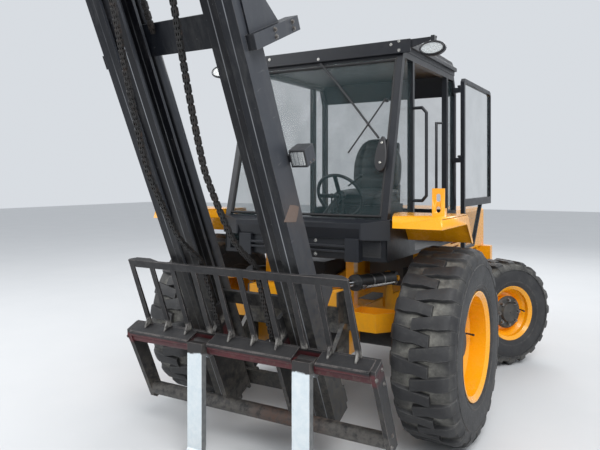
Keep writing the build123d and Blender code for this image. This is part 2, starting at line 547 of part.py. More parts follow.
# Cowl under the windscreen: slanted front panel, corner facets, louvre bars and a dark box below
cowl_back = SCREEN_FOOT_Y - SEAT_GAP
ear_back = SCREEN_FOOT_Y + 55
upper = [(-COWL_X, COWL_Y), (COWL_X, COWL_Y), (CAB_X + 20, cowl_back), (CAB_X + 20, ear_back), (CAB_X + 1, ear_back),
         (CAB_X + 1, cowl_back), (-CAB_X - 1, cowl_back), (-CAB_X - 1, ear_back), (-CAB_X - 20, ear_back),
         (-CAB_X - 20, cowl_back)]
cowl = plan_plate(upper, COWL_LOW, CAB_SILL)
cowl -= side_plate([(COWL_Y - 1, CAB_SILL - 25), (cowl_back, CAB_SILL), (cowl_back, CAB_SILL + 1),
                    (COWL_Y - 1, CAB_SILL + 1)], -CAB_X - 50, CAB_X + 50)
cowl -= side_plate([(COWL_Y - 1, COWL_LOW - 1), (COWL_Y - 1, COWL_LOW + 75), (COWL_Y + 26, COWL_LOW - 1)], -COWL_X + 12, COWL_X - 12)
cowl += box(-470, 470, COWL_Y + 40, cowl_back, 1170, COWL_LOW + 5)
for z in (1212.0, 1244.0):
    cowl += box(-370, 370, COWL_Y + 12, COWL_Y + 42, z, z + 14)
cowl += both(box(370, 470, COWL_Y + 10, cowl_back, COWL_FOOT, COWL_LOW + 5))
save("cab_cowl", cowl)

# Door: swung fully back along the cab's side, its lower corner cut away
door_len = DOOR_REAR_Y - DOOR_FRONT_Y + (HINGE_Y - DOOR_REAR_Y) - HINGE_GAP + 8
door_y0 = HINGE_Y + HINGE_GAP
door_x0 = 2 * HINGE_X - (CAB_X + 8 + DOOR_T)
door_end = door_y0 + door_len
low_end = door_y0 + 0.345 * door_len
mid_y = door_y0 + 0.635 * door_len
thin = 0.6 * DOOR_FRAME
door_outline = [(door_y0, DOOR_BOTTOM), (low_end, DOOR_BOTTOM), (mid_y, DOOR_MID), (door_end, DOOR_MID),
                (door_end, DOOR_TOP - 45), (door_end - 20, DOOR_TOP - 10), (door_end - 50, DOOR_TOP), (door_y0 + 30, DOOR_TOP),
                (door_y0, DOOR_TOP - 30)]
upper_hole = [(door_y0 + DOOR_FRAME, DOOR_MID + DOOR_FRAME + 30), (door_end - thin, DOOR_MID + DOOR_FRAME + 30),
              (door_end - thin, DOOR_TOP - 55), (door_end - 48, DOOR_TOP - DOOR_FRAME), (door_y0 + DOOR_FRAME, DOOR_TOP - DOOR_FRAME)]
lower_hole = [(door_y0 + DOOR_FRAME, DOOR_BOTTOM + thin), (low_end - 10, DOOR_BOTTOM + thin),
              (mid_y - 1.1 * thin, DOOR_MID), (door_y0 + DOOR_FRAME, DOOR_MID)]
door_x1 = door_x0 + DOOR_T
door = side_plate(door_outline, door_x0, door_x1)
door -= side_plate(upper_hole, door_x0 - 1, door_x1 + 1)
door -= side_plate(lower_hole, door_x0 - 1, door_x1 + 1)
for z in hinge_z:
    arm = box(HINGE_X - 12, door_x0 + 10, HINGE_Y - 16, door_y0 + 20, z + 25, z + 39)
    door += arm - rod("z", z + 10, z + 50, 9.3, HINGE_X, HINGE_Y)
door += box(door_x0 - 14, door_x0 + 1, door_end - 130, door_end - 60, DOOR_MID + 12, DOOR_MID + 34)
save("door", door)
door_glass = side_plate(upper_hole, door_x0 + DOOR_T / 2 - 3, door_x0 + DOOR_T / 2 + 3)
door_glass += side_plate(lower_hole, door_x0 + DOOR_T / 2 - 3, door_x0 + DOOR_T / 2 + 3)
save("door_glass", door_glass)

# Inside the cab
SEAT_FRONT_Y = 560.0
SEAT_TOP = 1600.0
seat = box(-240, 240, SEAT_FRONT_Y, SEAT_FRONT_Y + 500, SEAT_TOP - 120, SEAT_TOP)
seat += side_plate([(SEAT_FRONT_Y + 390, SEAT_TOP - 10), (SEAT_FRONT_Y + 500, SEAT_TOP - 10), (SEAT_FRONT_Y + 580, SEAT_TOP + 550),
                    (SEAT_FRONT_Y + 500, SEAT_TOP + 550)], -230, 230)
save("seat", seat)
save("seat_base", box(-220, 220, SEAT_FRONT_Y + 20, SEAT_FRONT_Y + 520, low + SEAT_GAP, SEAT_TOP - 120 - SEAT_GAP))
wheel_place = Pos(0, 300, 1560) * Rot(-60, 0, 0)
column = wheel_place * Pos(0, 0, -230) * Cylinder(25, 420 - 2 * SEAT_GAP)
save("dash", box(-300, 300, -240, -60, low + SEAT_GAP, 1420) + column)
ring = []
for i in range(6):
    ring.append((185 + 14 * cos(i * pi / 3), 14 * sin(i * pi / 3)))
wheel = revolve(make_face(Plane.XZ * Polyline(ring, close=True)), Axis.Z)
wheel += Cylinder(40, 40) + Box(370, 30, 12) + Box(30, 370, 12)
save("steering_wheel", wheel_place * wheel)

# Oval work lamps on arms at the roof's front corners
LAMP_X = 862.0
LAMP_Z = 2541.0
LAMP_Y = SCREEN_HEAD_Y - 42
oval = []
for i in range(20):
    oval.append((LAMP_X + 88 * cos(i * pi / 10), LAMP_Z + 50 * sin(i * pi / 10)))
lamp = front_plate(oval, LAMP_Y - 30, LAMP_Y)
small = []
for x, z in oval:
    small.append((LAMP_X + 0.62 * (x - LAMP_X), LAMP_Z + 0.62 * (z - LAMP_Z)))
lamp += front_plate(small, LAMP_Y - 1, LAMP_Y + 35)
arm_y = SCREEN_HEAD_Y - 18 + SEAT_GAP
arm_x = ROOF_SIDE + 8 + SEAT_GAP
lamp += front_plate([(arm_x, FASCIA_HIGH - 70), (arm_x, FASCIA_HIGH - 4), (LAMP_X + 14, FASCIA_HIGH - 2),
                     (LAMP_X + 14, FASCIA_HIGH - 14)], arm_y, arm_y + 6)
lamp += box(LAMP_X - 12, LAMP_X + 12, LAMP_Y - 20, arm_y + 6, LAMP_Z + 44, FASCIA_HIGH - 4)
save("roof_lamps", both(lamp))

# Outer mast in its own frame: y is minus n
back_y = -RAIL_BACK
front_y = -RAIL_BACK - RAIL_DEPTH
rail = box(RAIL_X - RAIL_FLANGE_W, RAIL_X, front_y, back_y, RAIL_LOW, RAIL_TOP)
rail -= box(RAIL_X - RAIL_FLANGE_W - 1, RAIL_X - RAIL_WEB, front_y + 20, back_y - 20, RAIL_LOW - 1, RAIL_TOP + 1)
outer = both(rail)
for s, height in ((-230.0, 120.0), (430.0, 90.0), (2035.0, 175.0), (2850.0, 120.0)):
    outer += box(-RAIL_X, RAIL_X, back_y - 2, back_y + BRACE_T, s, s + height)
ARM_S = 2020.0
arm = box(RAIL_X - 25, RAIL_X + 50, front_y + 35, 190, ARM_S, ARM_S + 75)
arm += side_plate([(front_y + 60, ARM_S + 70), (front_y + 60, ARM_S + 330), (back_y + 15, ARM_S + 330), (60, ARM_S + 70)],
                  RAIL_X - 3, RAIL_X + 12)
outer += both(arm)
outer += both(box(RAIL_X - 61, RAIL_X - 31, back_y - 5, 45, -50, 60))
outer -= both(rod("x", RAIL_X - 90, RAIL_X - 20, PIN_R + SEAT_GAP, 0, 0))
for x0, x1 in ((TILT_X - 46, TILT_X - 28), (TILT_X + 28, TILT_X + 41)):
    outer += both(side_plate([(back_y - 5, TILT_MAST_S - 110), (back_y - 5, TILT_MAST_S + 110),
                              (-TILT_MAST_N + 40, TILT_MAST_S + 42), (-TILT_MAST_N + 40, TILT_MAST_S - 42)], x0, x1))
outer += both(rod("x", TILT_X - 35, TILT_X + 35, EYE_PIN_R, -TILT_MAST_N, TILT_MAST_S))
MAST_LAMP_S = 1375.0
lamp_box = box(RAIL_X + 20, RAIL_X + 115, back_y - 20, back_y + 75, MAST_LAMP_S, MAST_LAMP_S + 95)
lamp_box += box(RAIL_X - 2, RAIL_X + 22, back_y - 15, back_y + 20, MAST_LAMP_S + 25, MAST_LAMP_S + 65)
outer += lamp_box
save("outer_mast", lean(outer))

# Lift cylinders behind the rails
LIFT_X = 308.0
LIFT_N = 55.0
LIFT_BARREL_TOP = 2350.0
barrels = both(rod("z", -180, LIFT_BARREL_TOP, 38, LIFT_X, -LIFT_N) - rod("z", -100, LIFT_BARREL_TOP + 1, 25, LIFT_X, -LIFT_N))
barrels += both(box(LIFT_X - 45, LIFT_X + 45, back_y + BRACE_T + SEAT_GAP, -LIFT_N + 45, -225, -180))
save("lift_barrels", lean(barrels))

# Inner mast
SHEAVE_X = 190.0
SHEAVE_R = 80.0
SHEAVE_Y = -230.0
SHEAVE_S = 2890.0
inner_x = RAIL_X - RAIL_FLANGE_W - RUN_GAP
inner_front = front_y + (RAIL_DEPTH - INNER_DEPTH) / 2
inner_back = inner_front + INNER_DEPTH
inner_rail = box(inner_x - INNER_FLANGE_W, inner_x, inner_front, inner_back, INNER_LOW, INNER_TOP)
inner_rail -= box(inner_x - INNER_FLANGE_W - 1, inner_x - INNER_WEB, inner_front + 18, inner_back - 18, INNER_LOW - 1, INNER_TOP + 1)
roller_r = RAIL_DEPTH / 2 - 20 - SEAT_GAP
for s in (-120.0, 480.0):
    inner_rail += rod("x", inner_x - 5, RAIL_X - RAIL_WEB - RUN_GAP, roller_r, (front_y + back_y) / 2, s)
inner = both(inner_rail)
inner += box(-inner_x, inner_x, inner_front, inner_back, INNER_TOP - 30, INNER_TOP)
inner += both(rod("z", -60, INNER_TOP - 20, 20, LIFT_X, -LIFT_N))
inner += both(box(LIFT_X - 40, LIFT_X + 40, inner_back - 10, -LIFT_N + 40, INNER_TOP - 30, INNER_TOP))
for x in (SHEAVE_X - 40, SHEAVE_X + 28):
    inner += both(box(x, x + 12, SHEAVE_Y - 30, SHEAVE_Y + 30, SHEAVE_S - 35, INNER_TOP - 20))
inner += both(rod("x", SHEAVE_X - 30, SHEAVE_X + 30, 18, SHEAVE_Y, SHEAVE_S))
save("inner_mast", lean(inner))

# Chain sheaves at the inner mast's top
sheave = rod("x", SHEAVE_X - 24, SHEAVE_X + 24, SHEAVE_R, SHEAVE_Y, SHEAVE_S)
sheave -= rod("x", SHEAVE_X - 25, SHEAVE_X + 25, 18 + SEAT_GAP, SHEAVE_Y, SHEAVE_S)
save("sheaves", lean(both(sheave)))

# Chains
CHAIN_W = 40.0
CHAIN_T = 12.0


def chain_band(points, x):
    """A band of chain along (n, s) points."""
    outline = []
    for n, s in points:
        outline.append((-n - CHAIN_T / 2, s))
    for n, s in reversed(points):
        outline.append((-n + CHAIN_T / 2, s))
    return side_plate(outline, x - CHAIN_W / 2, x + CHAIN_W / 2)


CAR_PLATE_N = SHAFT_N - 58
CHAIN_FOOT_N = CAR_PLATE_N - 24
sheave_front = -SHEAVE_Y + SHEAVE_R + CHAIN_T / 2 + 1
sheave_back = -SHEAVE_Y - SHEAVE_R - CHAIN_T / 2 - 1
front_run = chain_band([(sheave_front, SHEAVE_S), (330, 2640), (430, 2326), (545, 1946), (550, 1518), (425, 1123),
                        (BACKREST_N - 19, BACKREST_TOP + 40), (BACKREST_N - 14, BACKREST_TOP - 120),
                        (CHAIN_FOOT_N, SHAFT_S + 15)], SHEAVE_X)
save("chain_front", lean(both(front_run)))
rear_run = chain_band([(sheave_back, SHEAVE_S), (148, 2700), (148, 2150)], SHEAVE_X)
save("chain_rear", lean(both(rear_run)))

# Carriage
car = both(rod("x", 0, CARRIAGE_X - END_PLATE_T, TUBE_R, -TUBE_N, TUBE_S))
end_plate = side_plate([(-CAR_PLATE_N + 6, SHAFT_S + 66), (-SHAFT_N - 30, SHAFT_S + 66), (-SHAFT_N - 44, SHAFT_S + 30),
                        (-SHAFT_N - 40, SHAFT_S - 50), (-TUBE_N - 42, TUBE_S - 40), (-TUBE_N - 20, TUBE_S - 66),
                        (-TUBE_N + 48, TUBE_S - 66), (-TUBE_N + 52, TUBE_S + 10)], CARRIAGE_X - END_PLATE_T, CARRIAGE_X)
car += both(end_plate)
car += box(-CARRIAGE_X + 5, CARRIAGE_X - 5, -CAR_PLATE_N, -CAR_PLATE_N + 14, SHAFT_S - 60, SHAFT_S + 66)
roller_x = inner_x - INNER_WEB - RUN_GAP
plate_x = inner_x - INNER_FLANGE_W - RUN_GAP
car += both(side_plate([(-CAR_PLATE_N + 12, TUBE_S - 40), (-CAR_PLATE_N + 12, SHAFT_S + 60),
                        (-BACKREST_N + 20, SHAFT_S + 90), (-BACKREST_N + 20, SHAFT_S + 200),
                        (inner_back - 30, SHAFT_S + 200), (inner_back - 30, TUBE_S - 40)], plate_x - 25, plate_x))
for s in (-60.0, 380.0):
    car += both(rod("x", plate_x - 5, roller_x, INNER_DEPTH / 2 - 18 - SEAT_GAP, (inner_front + inner_back) / 2, s))
car += both(box(plate_x - 25, plate_x, -TUBE_N, -CAR_PLATE_N + 15, TUBE_S - 40, SHAFT_S - 55))
car += both(box(SHEAVE_X - 26, SHEAVE_X + 26, -CAR_PLATE_N + 10, -CAR_PLATE_N + 40, SHAFT_S - 40, SHAFT_S + 14.5))
save("carriage", lean(car))
shaft = rod("x", -CARRIAGE_X + END_PLATE_T + SEAT_GAP, CARRIAGE_X - END_PLATE_T - SEAT_GAP, SHAFT_R, -SHAFT_N, SHAFT_S)
save("fork_shaft", lean(shaft))

# Load backrest: a top bar with end gussets and slanting bars with small feet
foot = SHAFT_S + 66 + SEAT_GAP
top_y = -BACKREST_N
foot_y = -BACKREST_FOOT_N
rest = box(-BACKREST_X, BACKREST_X, top_y - BAR_T, top_y, BACKREST_TOP - 50, BACKREST_TOP)
rest += both(plan_plate([(BACKREST_X, top_y - BAR_T), (BACKREST_X, top_y - 1), (BACKREST_X - 50, top_y + 24),
                         (BACKREST_X - 160, top_y + 24), (BACKREST_X - 250, top_y - 1), (BACKREST_X - 250, top_y - BAR_T)],
                        BACKREST_TOP - 10, BACKREST_TOP))
for i in range(BAR_COUNT):
    x = -BACKREST_X + BAR_W / 2 + i * (2 * BACKREST_X - BAR_W) / (BAR_COUNT - 1)
    rest += side_plate([(foot_y - 12, foot), (foot_y + 6, foot), (top_y - 2, BACKREST_TOP - 8), (top_y - BAR_T + 1, BACKREST_TOP - 8)],
                       x - BAR_W / 2, x + BAR_W / 2)
    if all(abs(x - fork_x) > FORK_W / 2 + BAR_W for fork_x in FORK_XS.values()):
        rest += side_plate([(foot_y - 58, foot), (foot_y - 10, foot), (foot_y - 10, foot + 46)], x - 6, x + 6)
save("backrest", lean(rest))

# Forks: tapered blades with rounded heels
shaft_y, shaft_z = mast_point(SHAFT_S, SHAFT_N)
heel_y = shaft_y - SHAFT_R - 5
for side_name, x in FORK_XS.items():
    outline = [(heel_y, 95), (heel_y, shaft_z + 45), (heel_y - FORK_T, shaft_z + 45), (heel_y - FORK_T, FORK_T + 22),
               (heel_y - FORK_T - 18, FORK_T + 4), (heel_y - FORK_T - 60, FORK_T), (heel_y - FORK_T - FORK_LENGTH, 14),
               (heel_y - FORK_T - FORK_LENGTH, 0), (heel_y - 62, 0), (heel_y - 22, 22), (heel_y - 6, 52)]
    fork = side_plate(outline, x - FORK_W / 2, x + FORK_W / 2)
    tip = heel_y - FORK_T - FORK_LENGTH
    for edge in (-1, 1):
        corner = plan_plate([(x + edge * (FORK_W / 2 + 1), tip - 1), (x + edge * (FORK_W / 2 - 30), tip - 1),
                             (x + edge * (FORK_W / 2 + 1), tip + 110)], -1, FORK_T)
        fork -= corner
    fork += rod("x", x - FORK_W / 2, x + FORK_W / 2, FORK_EYE_R, shaft_y, shaft_z)
    fork -= rod("x", x - FORK_W, x + FORK_W, SHAFT_R + SEAT_GAP, shaft_y, shaft_z)
    save(f"fork_{side_name}", fork)

# Tilt cylinders
mast_y, mast_z = mast_point(TILT_MAST_S, TILT_MAST_N)
cyl_angle = degrees(atan2(mast_z - TILT_REAR_Z, TILT_REAR_Y - mast_y))
cyl_length = hypot(mast_z - TILT_REAR_Z, TILT_REAR_Y - mast_y)


def along_cylinder(shape):
    """Takes a piece from a frame whose -Y runs along the cylinder to where the cylinder lies."""
    return Pos(0, TILT_REAR_Y, TILT_REAR_Z) * Rot(-cyl_angle, 0, 0) * shape


barrel = rod("y", -BARREL_LENGTH, -60, BARREL_R, TILT_X, 0) + rod("x", TILT_X - 20, TILT_X + 20, EYE_R, 0, 0)
barrel += rod("y", -BARREL_LENGTH - 1, -BARREL_LENGTH + 45, BARREL_R + 6, TILT_X, 0)
barrel += box(TILT_X - 20, TILT_X + 20, -70, 0, -30, 30)
barrel -= rod("x", TILT_X - 30, TILT_X + 30, EYE_PIN_R + SEAT_GAP, 0, 0)
barrel -= rod("y", -BARREL_LENGTH - 2, -90, ROD_R + SEAT_GAP, TILT_X, 0)
rod_eye = rod("x", TILT_X - 20, TILT_X + 20, EYE_R, -cyl_length, 0)
tilt_rod = rod("y", -cyl_length + EYE_PIN_R + EYE_DRIFT + 5, -BARREL_LENGTH + 120, ROD_R, TILT_X, 0) + rod_eye
tilt_rod -= rod("x", TILT_X - 30, TILT_X + 30, EYE_PIN_R + EYE_DRIFT, -cyl_length, 0)
for side_name, flip in (("left", lambda shape: shape), ("right", mirrored)):
    save(f"tilt_barrel_{side_name}", flip(along_cylinder(barrel)))
    save(f"tilt_rod_{side_name}", flip(along_cylinder(tilt_rod)))
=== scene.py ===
"""Rough terrain forklift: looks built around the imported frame. Metres, the machine faces -Y, its left side is +X."""
import json
import math
import random

import bmesh
import bpy
from mathutils import Matrix, Vector


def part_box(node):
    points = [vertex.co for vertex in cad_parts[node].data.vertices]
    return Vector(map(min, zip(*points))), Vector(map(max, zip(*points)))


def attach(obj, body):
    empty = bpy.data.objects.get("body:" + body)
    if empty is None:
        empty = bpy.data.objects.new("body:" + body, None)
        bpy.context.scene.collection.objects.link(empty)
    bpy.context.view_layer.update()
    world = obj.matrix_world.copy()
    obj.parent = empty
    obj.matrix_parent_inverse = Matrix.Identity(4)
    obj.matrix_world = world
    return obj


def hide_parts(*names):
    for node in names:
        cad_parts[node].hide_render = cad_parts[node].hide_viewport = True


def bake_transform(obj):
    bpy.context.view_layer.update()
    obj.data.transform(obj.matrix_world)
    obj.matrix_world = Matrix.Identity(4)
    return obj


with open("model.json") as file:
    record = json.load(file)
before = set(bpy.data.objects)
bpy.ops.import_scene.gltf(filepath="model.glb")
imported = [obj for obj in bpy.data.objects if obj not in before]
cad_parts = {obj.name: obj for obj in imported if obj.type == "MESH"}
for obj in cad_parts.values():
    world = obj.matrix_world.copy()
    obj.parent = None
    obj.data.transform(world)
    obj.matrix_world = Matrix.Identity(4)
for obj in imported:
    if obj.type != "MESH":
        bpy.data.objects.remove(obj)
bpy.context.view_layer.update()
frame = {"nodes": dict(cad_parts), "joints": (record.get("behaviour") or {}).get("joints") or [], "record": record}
NODES = frame["nodes"]
RECORD = frame["record"]
JOINTS = {j["name"]: j for j in frame["joints"]}
random.seed(7)

# Places are measured from the front axle, as in the CAD, and moved to the row's origin by at()
PIVOT = Vector(JOINTS["mast_tilt"]["pos_m"])
ORIGIN_Y = -0.5 - PIVOT.y
UP = Vector(JOINTS["mast_lift"]["axis"])
MAST = Matrix.Translation(PIVOT) @ Matrix.Rotation(math.atan2(-UP.y, UP.z), 4, "X")
NOSE_BACK = -0.33 - ORIGIN_Y
NOSE_TOP = 0.875
CAMERA_AT = (2.105, -3.904 - ORIGIN_Y, 1.692)
CAMERA_AZIMUTH = 30.38
CAMERA_LENS = 36.28
CAMERA_SHIFT_Y = -0.0768
REFLECTOR = (0.442, -0.348, 1.195)


def at(x, y, z):
    """A place measured from the front axle, in the row's frame."""
    return Vector((x, y - ORIGIN_Y, z))


def socket(node, name, value):
    node.inputs[name].default_value = value


# Materials

class Mat:
    """A node material with short helpers for procedural colour, roughness and bump."""

    def __init__(self, name, frame_matrix=None):
        self.m = bpy.data.materials.new(name)
        self.m.use_nodes = True
        self.t = self.m.node_tree
        self.t.nodes.clear()
        self.out = self.t.nodes.new("ShaderNodeOutputMaterial")
        self.b = self.t.nodes.new("ShaderNodeBsdfPrincipled")
        self.t.links.new(self.b.outputs[0], self.out.inputs[0])
        self.where = self.t.nodes.new("ShaderNodeTexCoord").outputs["Object"]
        if frame_matrix is not None:
            mp = self.t.nodes.new("ShaderNodeMapping")
            mp.vector_type = "TEXTURE"
            mp.inputs["Location"].default_value = frame_matrix.to_translation()
            mp.inputs["Rotation"].default_value = frame_matrix.to_euler()
            self.link(self.where, mp.inputs["Vector"])
            self.where = mp.outputs[0]

    def link(self, a, b):
        self.t.links.new(a, b)

    def noise(self, scale, detail=4.0, rough=0.55, stretch=None):
        n = self.t.nodes.new("ShaderNodeTexNoise")
        socket(n, "Scale", scale)
        socket(n, "Detail", detail)
        socket(n, "Roughness", rough)
        where = self.where
        if stretch:
            mp = self.t.nodes.new("ShaderNodeMapping")
            mp.inputs["Scale"].default_value = stretch
            self.link(where, mp.inputs["Vector"])
            where = mp.outputs[0]
        self.link(where, n.inputs["Vector"])
        return n.outputs["Fac"]

    def ramp(self, fac, stops):
        r = self.t.nodes.new("ShaderNodeValToRGB")
        e = r.color_ramp.elements
        while len(e) < len(stops):
            e.new(0.5)
        for el, (pos, col) in zip(e, stops):
            el.position = pos
            el.color = (*col, 1.0) if not isinstance(col, (int, float)) else (col, col, col, 1.0)
        self.link(fac, r.inputs[0])
        return r.outputs[0]

    def mix(self, fac, a, b):
        x = self.t.nodes.new("ShaderNodeMix")
        x.data_type = "RGBA"
        if isinstance(fac, (int, float)):
            x.inputs["Factor"].default_value = fac
        else:
            self.link(fac, x.inputs["Factor"])
        for sock, v in (("A", a), ("B", b)):
            s = [i for i in x.inputs if i.name == sock and i.type == "RGBA"][0]
            if isinstance(v, tuple):
                s.default_value = (*v, 1.0)
            else:
                self.link(v, s)
        return [o for o in x.outputs if o.type == "RGBA"][0]

    def calc(self, op, a, b=0.0, clamp=False):
        n = self.t.nodes.new("ShaderNodeMath")
        n.operation = op
        n.use_clamp = clamp
        for i, v in enumerate((a, b)):
            if isinstance(v, (int, float)):
                n.inputs[i].default_value = v
            else:
                self.link(v, n.inputs[i])
        return n.outputs[0]

    def span(self, value, low, high):
        """0 where value is at low, 1 where it is at high, clamped."""
        n = self.t.nodes.new("ShaderNodeMapRange")
        socket(n, "From Min", low)
        socket(n, "From Max", high)
        self.link(value, n.inputs["Value"])
        return n.outputs[0]

    def axes(self):
        s = self.t.nodes.new("ShaderNodeSeparateXYZ")
        self.link(self.where, s.inputs[0])
        return s.outputs

    def facing(self, axis, low=0.5, high=0.8):
        """1 on faces that look along an axis of the row's frame (0 x, 1 y, 2 z), 0 on the others."""
        geo = self.t.nodes.new("ShaderNodeNewGeometry")
        n = self.t.nodes.new("ShaderNodeSeparateXYZ")
        self.link(geo.outputs["Normal"], n.inputs[0])
        return self.span(self.calc("ABSOLUTE", n.outputs[axis]), low, high)

    def edges(self, radius, low=0.004, high=0.06):
        """1 on sharp edges, 0 on flats."""
        bevel = self.t.nodes.new("ShaderNodeBevel")
        bevel.samples = 4
        socket(bevel, "Radius", radius)
        geo = self.t.nodes.new("ShaderNodeNewGeometry")
        dot = self.t.nodes.new("ShaderNodeVectorMath")
        dot.operation = "DOT_PRODUCT"
        self.link(bevel.outputs[0], dot.inputs[0])
        self.link(geo.outputs["Normal"], dot.inputs[1])
        return self.span(self.calc("SUBTRACT", 1.0, dot.outputs["Value"]), low, high)

    def bump(self, height, strength, distance):
        b = self.t.nodes.new("ShaderNodeBump")
        socket(b, "Strength", strength)
        socket(b, "Distance", distance)
        self.link(height, b.inputs["Height"])
        self.link(b.outputs[0], self.b.inputs["Normal"])

    def colour(self, value):
        self.link(value, self.b.inputs["Base Color"])

    def rough(self, value):
        self.link(value, self.b.inputs["Roughness"])


def paint(name, colour, dark, rough, dirt, dirt_amount, coat=0.0, edge=None, edge_amount=0.0, low_dirt=0.0,
          dirt_top=1.2):
    """Painted steel: slight mottling, dust that thickens near the ground, worn edges, orange-peel bump."""
    m = Mat(name)
    big = m.noise(1.6, 3.0, 0.5)
    fine = m.noise(26.0, 7.0, 0.72)
    base = m.mix(m.ramp(big, [(0.38, 0.0), (0.64, 1.0)]), dark, colour)
    lo = 0.60 - dirt_amount * 0.15
    dust = m.ramp(fine, [(lo, 0.0), (lo + 0.2, dirt_amount)])
    if low_dirt:
        height = m.axes()[2]
        low = m.calc("MULTIPLY", m.calc("SUBTRACT", 1.0, m.span(height, 0.15, dirt_top)), low_dirt)
        low = m.calc("MULTIPLY", low, m.ramp(m.noise(7.0, 6.0, 0.65), [(0.36, 0.15), (0.62, 1.0)]))
        dust = m.calc("MAXIMUM", dust, low)
    col = m.mix(dust, base, dirt)
    if edge:
        worn = m.calc("MULTIPLY", m.edges(0.004), m.ramp(m.noise(16.0, 5.0, 0.7), [(0.42, 0.0), (0.60, edge_amount)]))
        col = m.mix(worn, col, edge)
    m.colour(col)
    sheen = m.ramp(fine, [(0.3, rough - 0.05), (0.75, rough + 0.12)])
    m.rough(m.calc("ADD", sheen, m.calc("MULTIPLY", dust, 0.25), True))
    socket(m.b, "Coat Weight", coat)
    socket(m.b, "Coat Roughness", 0.10)
    m.bump(m.noise(90.0, 3.0, 0.6), 0.06, 0.002)
    return m.m


def nose_material():
    """The chassis yellow; black and greasy on the nose, in the place of dark plates round the mast's foot."""
    m = Mat("chassis_paint")
    x, y, z = m.axes()
    fine = m.noise(26.0, 7.0, 0.72)
    col = m.mix(m.ramp(m.noise(1.6, 3.0, 0.5), [(0.38, 0.0), (0.64, 1.0)]), (0.88, 0.37, 0.007), (0.93, 0.405, 0.008))
    low = m.calc("MULTIPLY", m.calc("SUBTRACT", 1.0, m.span(z, 0.25, 0.95)), m.ramp(fine, [(0.36, 0.1), (0.62, 0.7)]))
    col = m.mix(low, col, (0.30, 0.18, 0.075))
    front = m.calc("SUBTRACT", 1.0, m.span(y, NOSE_BACK - 0.01, NOSE_BACK))
    sides = m.span(m.calc("ABSOLUTE", x), 0.335, 0.345)
    below = m.calc("SUBTRACT", 1.0, m.span(z, NOSE_TOP - 0.01, NOSE_TOP))
    nose = m.calc("MULTIPLY", front, m.calc("MAXIMUM", sides, below))
    greasy = m.mix(m.ramp(fine, [(0.40, 0.0), (0.62, 1.0)]), (0.014, 0.015, 0.017), (0.085, 0.078, 0.066))
    col = m.mix(nose, col, greasy)
    m.colour(col)
    m.rough(m.ramp(fine, [(0.3, 0.26), (0.75, 0.42)]))
    socket(m.b, "Coat Weight", 0.25)
    m.bump(m.noise(90.0, 3.0, 0.6), 0.06, 0.002)
    return m.m


def metal(name, colour, rough, stain, amount):
    """Bare metal with stains."""
    m = Mat(name)
    marks = m.ramp(m.noise(30.0, 6.0, 0.7), [(0.45, 0.0), (0.7, amount)])
    m.colour(m.mix(marks, colour, stain))
    m.rough(m.calc("ADD", m.calc("MULTIPLY", marks, 0.4), rough, True))
    socket(m.b, "Metallic", 1.0)
    m.bump(m.noise(160.0, 2.0), 0.05, 0.001)
    return m.m


def carriage_material():
    """Worn black frame in the mast's frame: maroon primer at the upper edge, rust on the lower tube, dried mud."""
    m = Mat("carriage_paint", MAST)
    x, y, s = m.axes()
    fine = m.noise(24.0, 7.0, 0.72)
    patch = m.noise(5.0, 5.0, 0.62)
    col = m.mix(m.ramp(patch, [(0.35, 0.0), (0.7, 1.0)]), (0.010, 0.010, 0.012), (0.028, 0.027, 0.027))
    mud = m.calc("MULTIPLY", m.span(fine, 0.42, 0.66), m.calc("SUBTRACT", 1.0, m.span(s, -0.15, 0.33)))
    col = m.mix(m.calc("MULTIPLY", mud, 0.75), col, (0.155, 0.14, 0.115))
    band = m.calc("MULTIPLY", m.span(s, 0.262, 0.285), m.calc("SUBTRACT", 1.0, m.span(s, 0.338, 0.350)))
    band = m.calc("MULTIPLY", band, m.ramp(patch, [(0.34, 0.15), (0.5, 0.9)]))
    col = m.mix(band, col, (0.105, 0.016, 0.020))
    low = m.calc("SUBTRACT", 1.0, m.span(s, -0.10, -0.075))
    soil = m.calc("MULTIPLY", low, m.ramp(fine, [(0.38, 0.1), (0.60, 0.8)]))
    col = m.mix(soil, col, (0.105, 0.098, 0.090))
    middle = m.calc("SUBTRACT", 1.0, m.span(m.calc("ABSOLUTE", m.calc("SUBTRACT", x, 0.22)), 0.10, 0.30))
    rust = m.calc("MULTIPLY", m.calc("MULTIPLY", low, middle), m.ramp(fine, [(0.36, 0.1), (0.60, 0.85)]))
    col = m.mix(rust, col, (0.085, 0.036, 0.020))
    feet = m.calc("MULTIPLY", m.span(s, 0.364, 0.374), m.calc("SUBTRACT", 1.0, m.span(s, 0.392, 0.425)))
    feet = m.calc("MULTIPLY", feet, m.ramp(fine, [(0.40, 0.1), (0.56, 0.9)]))
    col = m.mix(feet, col, (0.27, 0.26, 0.24))
    ends = m.calc("MULTIPLY", m.span(m.calc("ABSOLUTE", x), 0.872, 0.8795), m.ramp(patch, [(0.3, 0.2), (0.55, 0.8)]))
    col = m.mix(ends, col, (0.030, 0.030, 0.032))
    worn = m.calc("MULTIPLY", m.edges(0.005), m.ramp(m.noise(14.0, 5.0, 0.7), [(0.36, 0.0), (0.56, 0.85)]))
    col = m.mix(worn, col, (0.20, 0.175, 0.165))
    m.colour(col)
    m.rough(m.ramp(fine, [(0.3, 0.45), (0.75, 0.8)]))
    m.bump(m.noise(60.0, 5.0, 0.7), 0.25, 0.003)
    return m.m


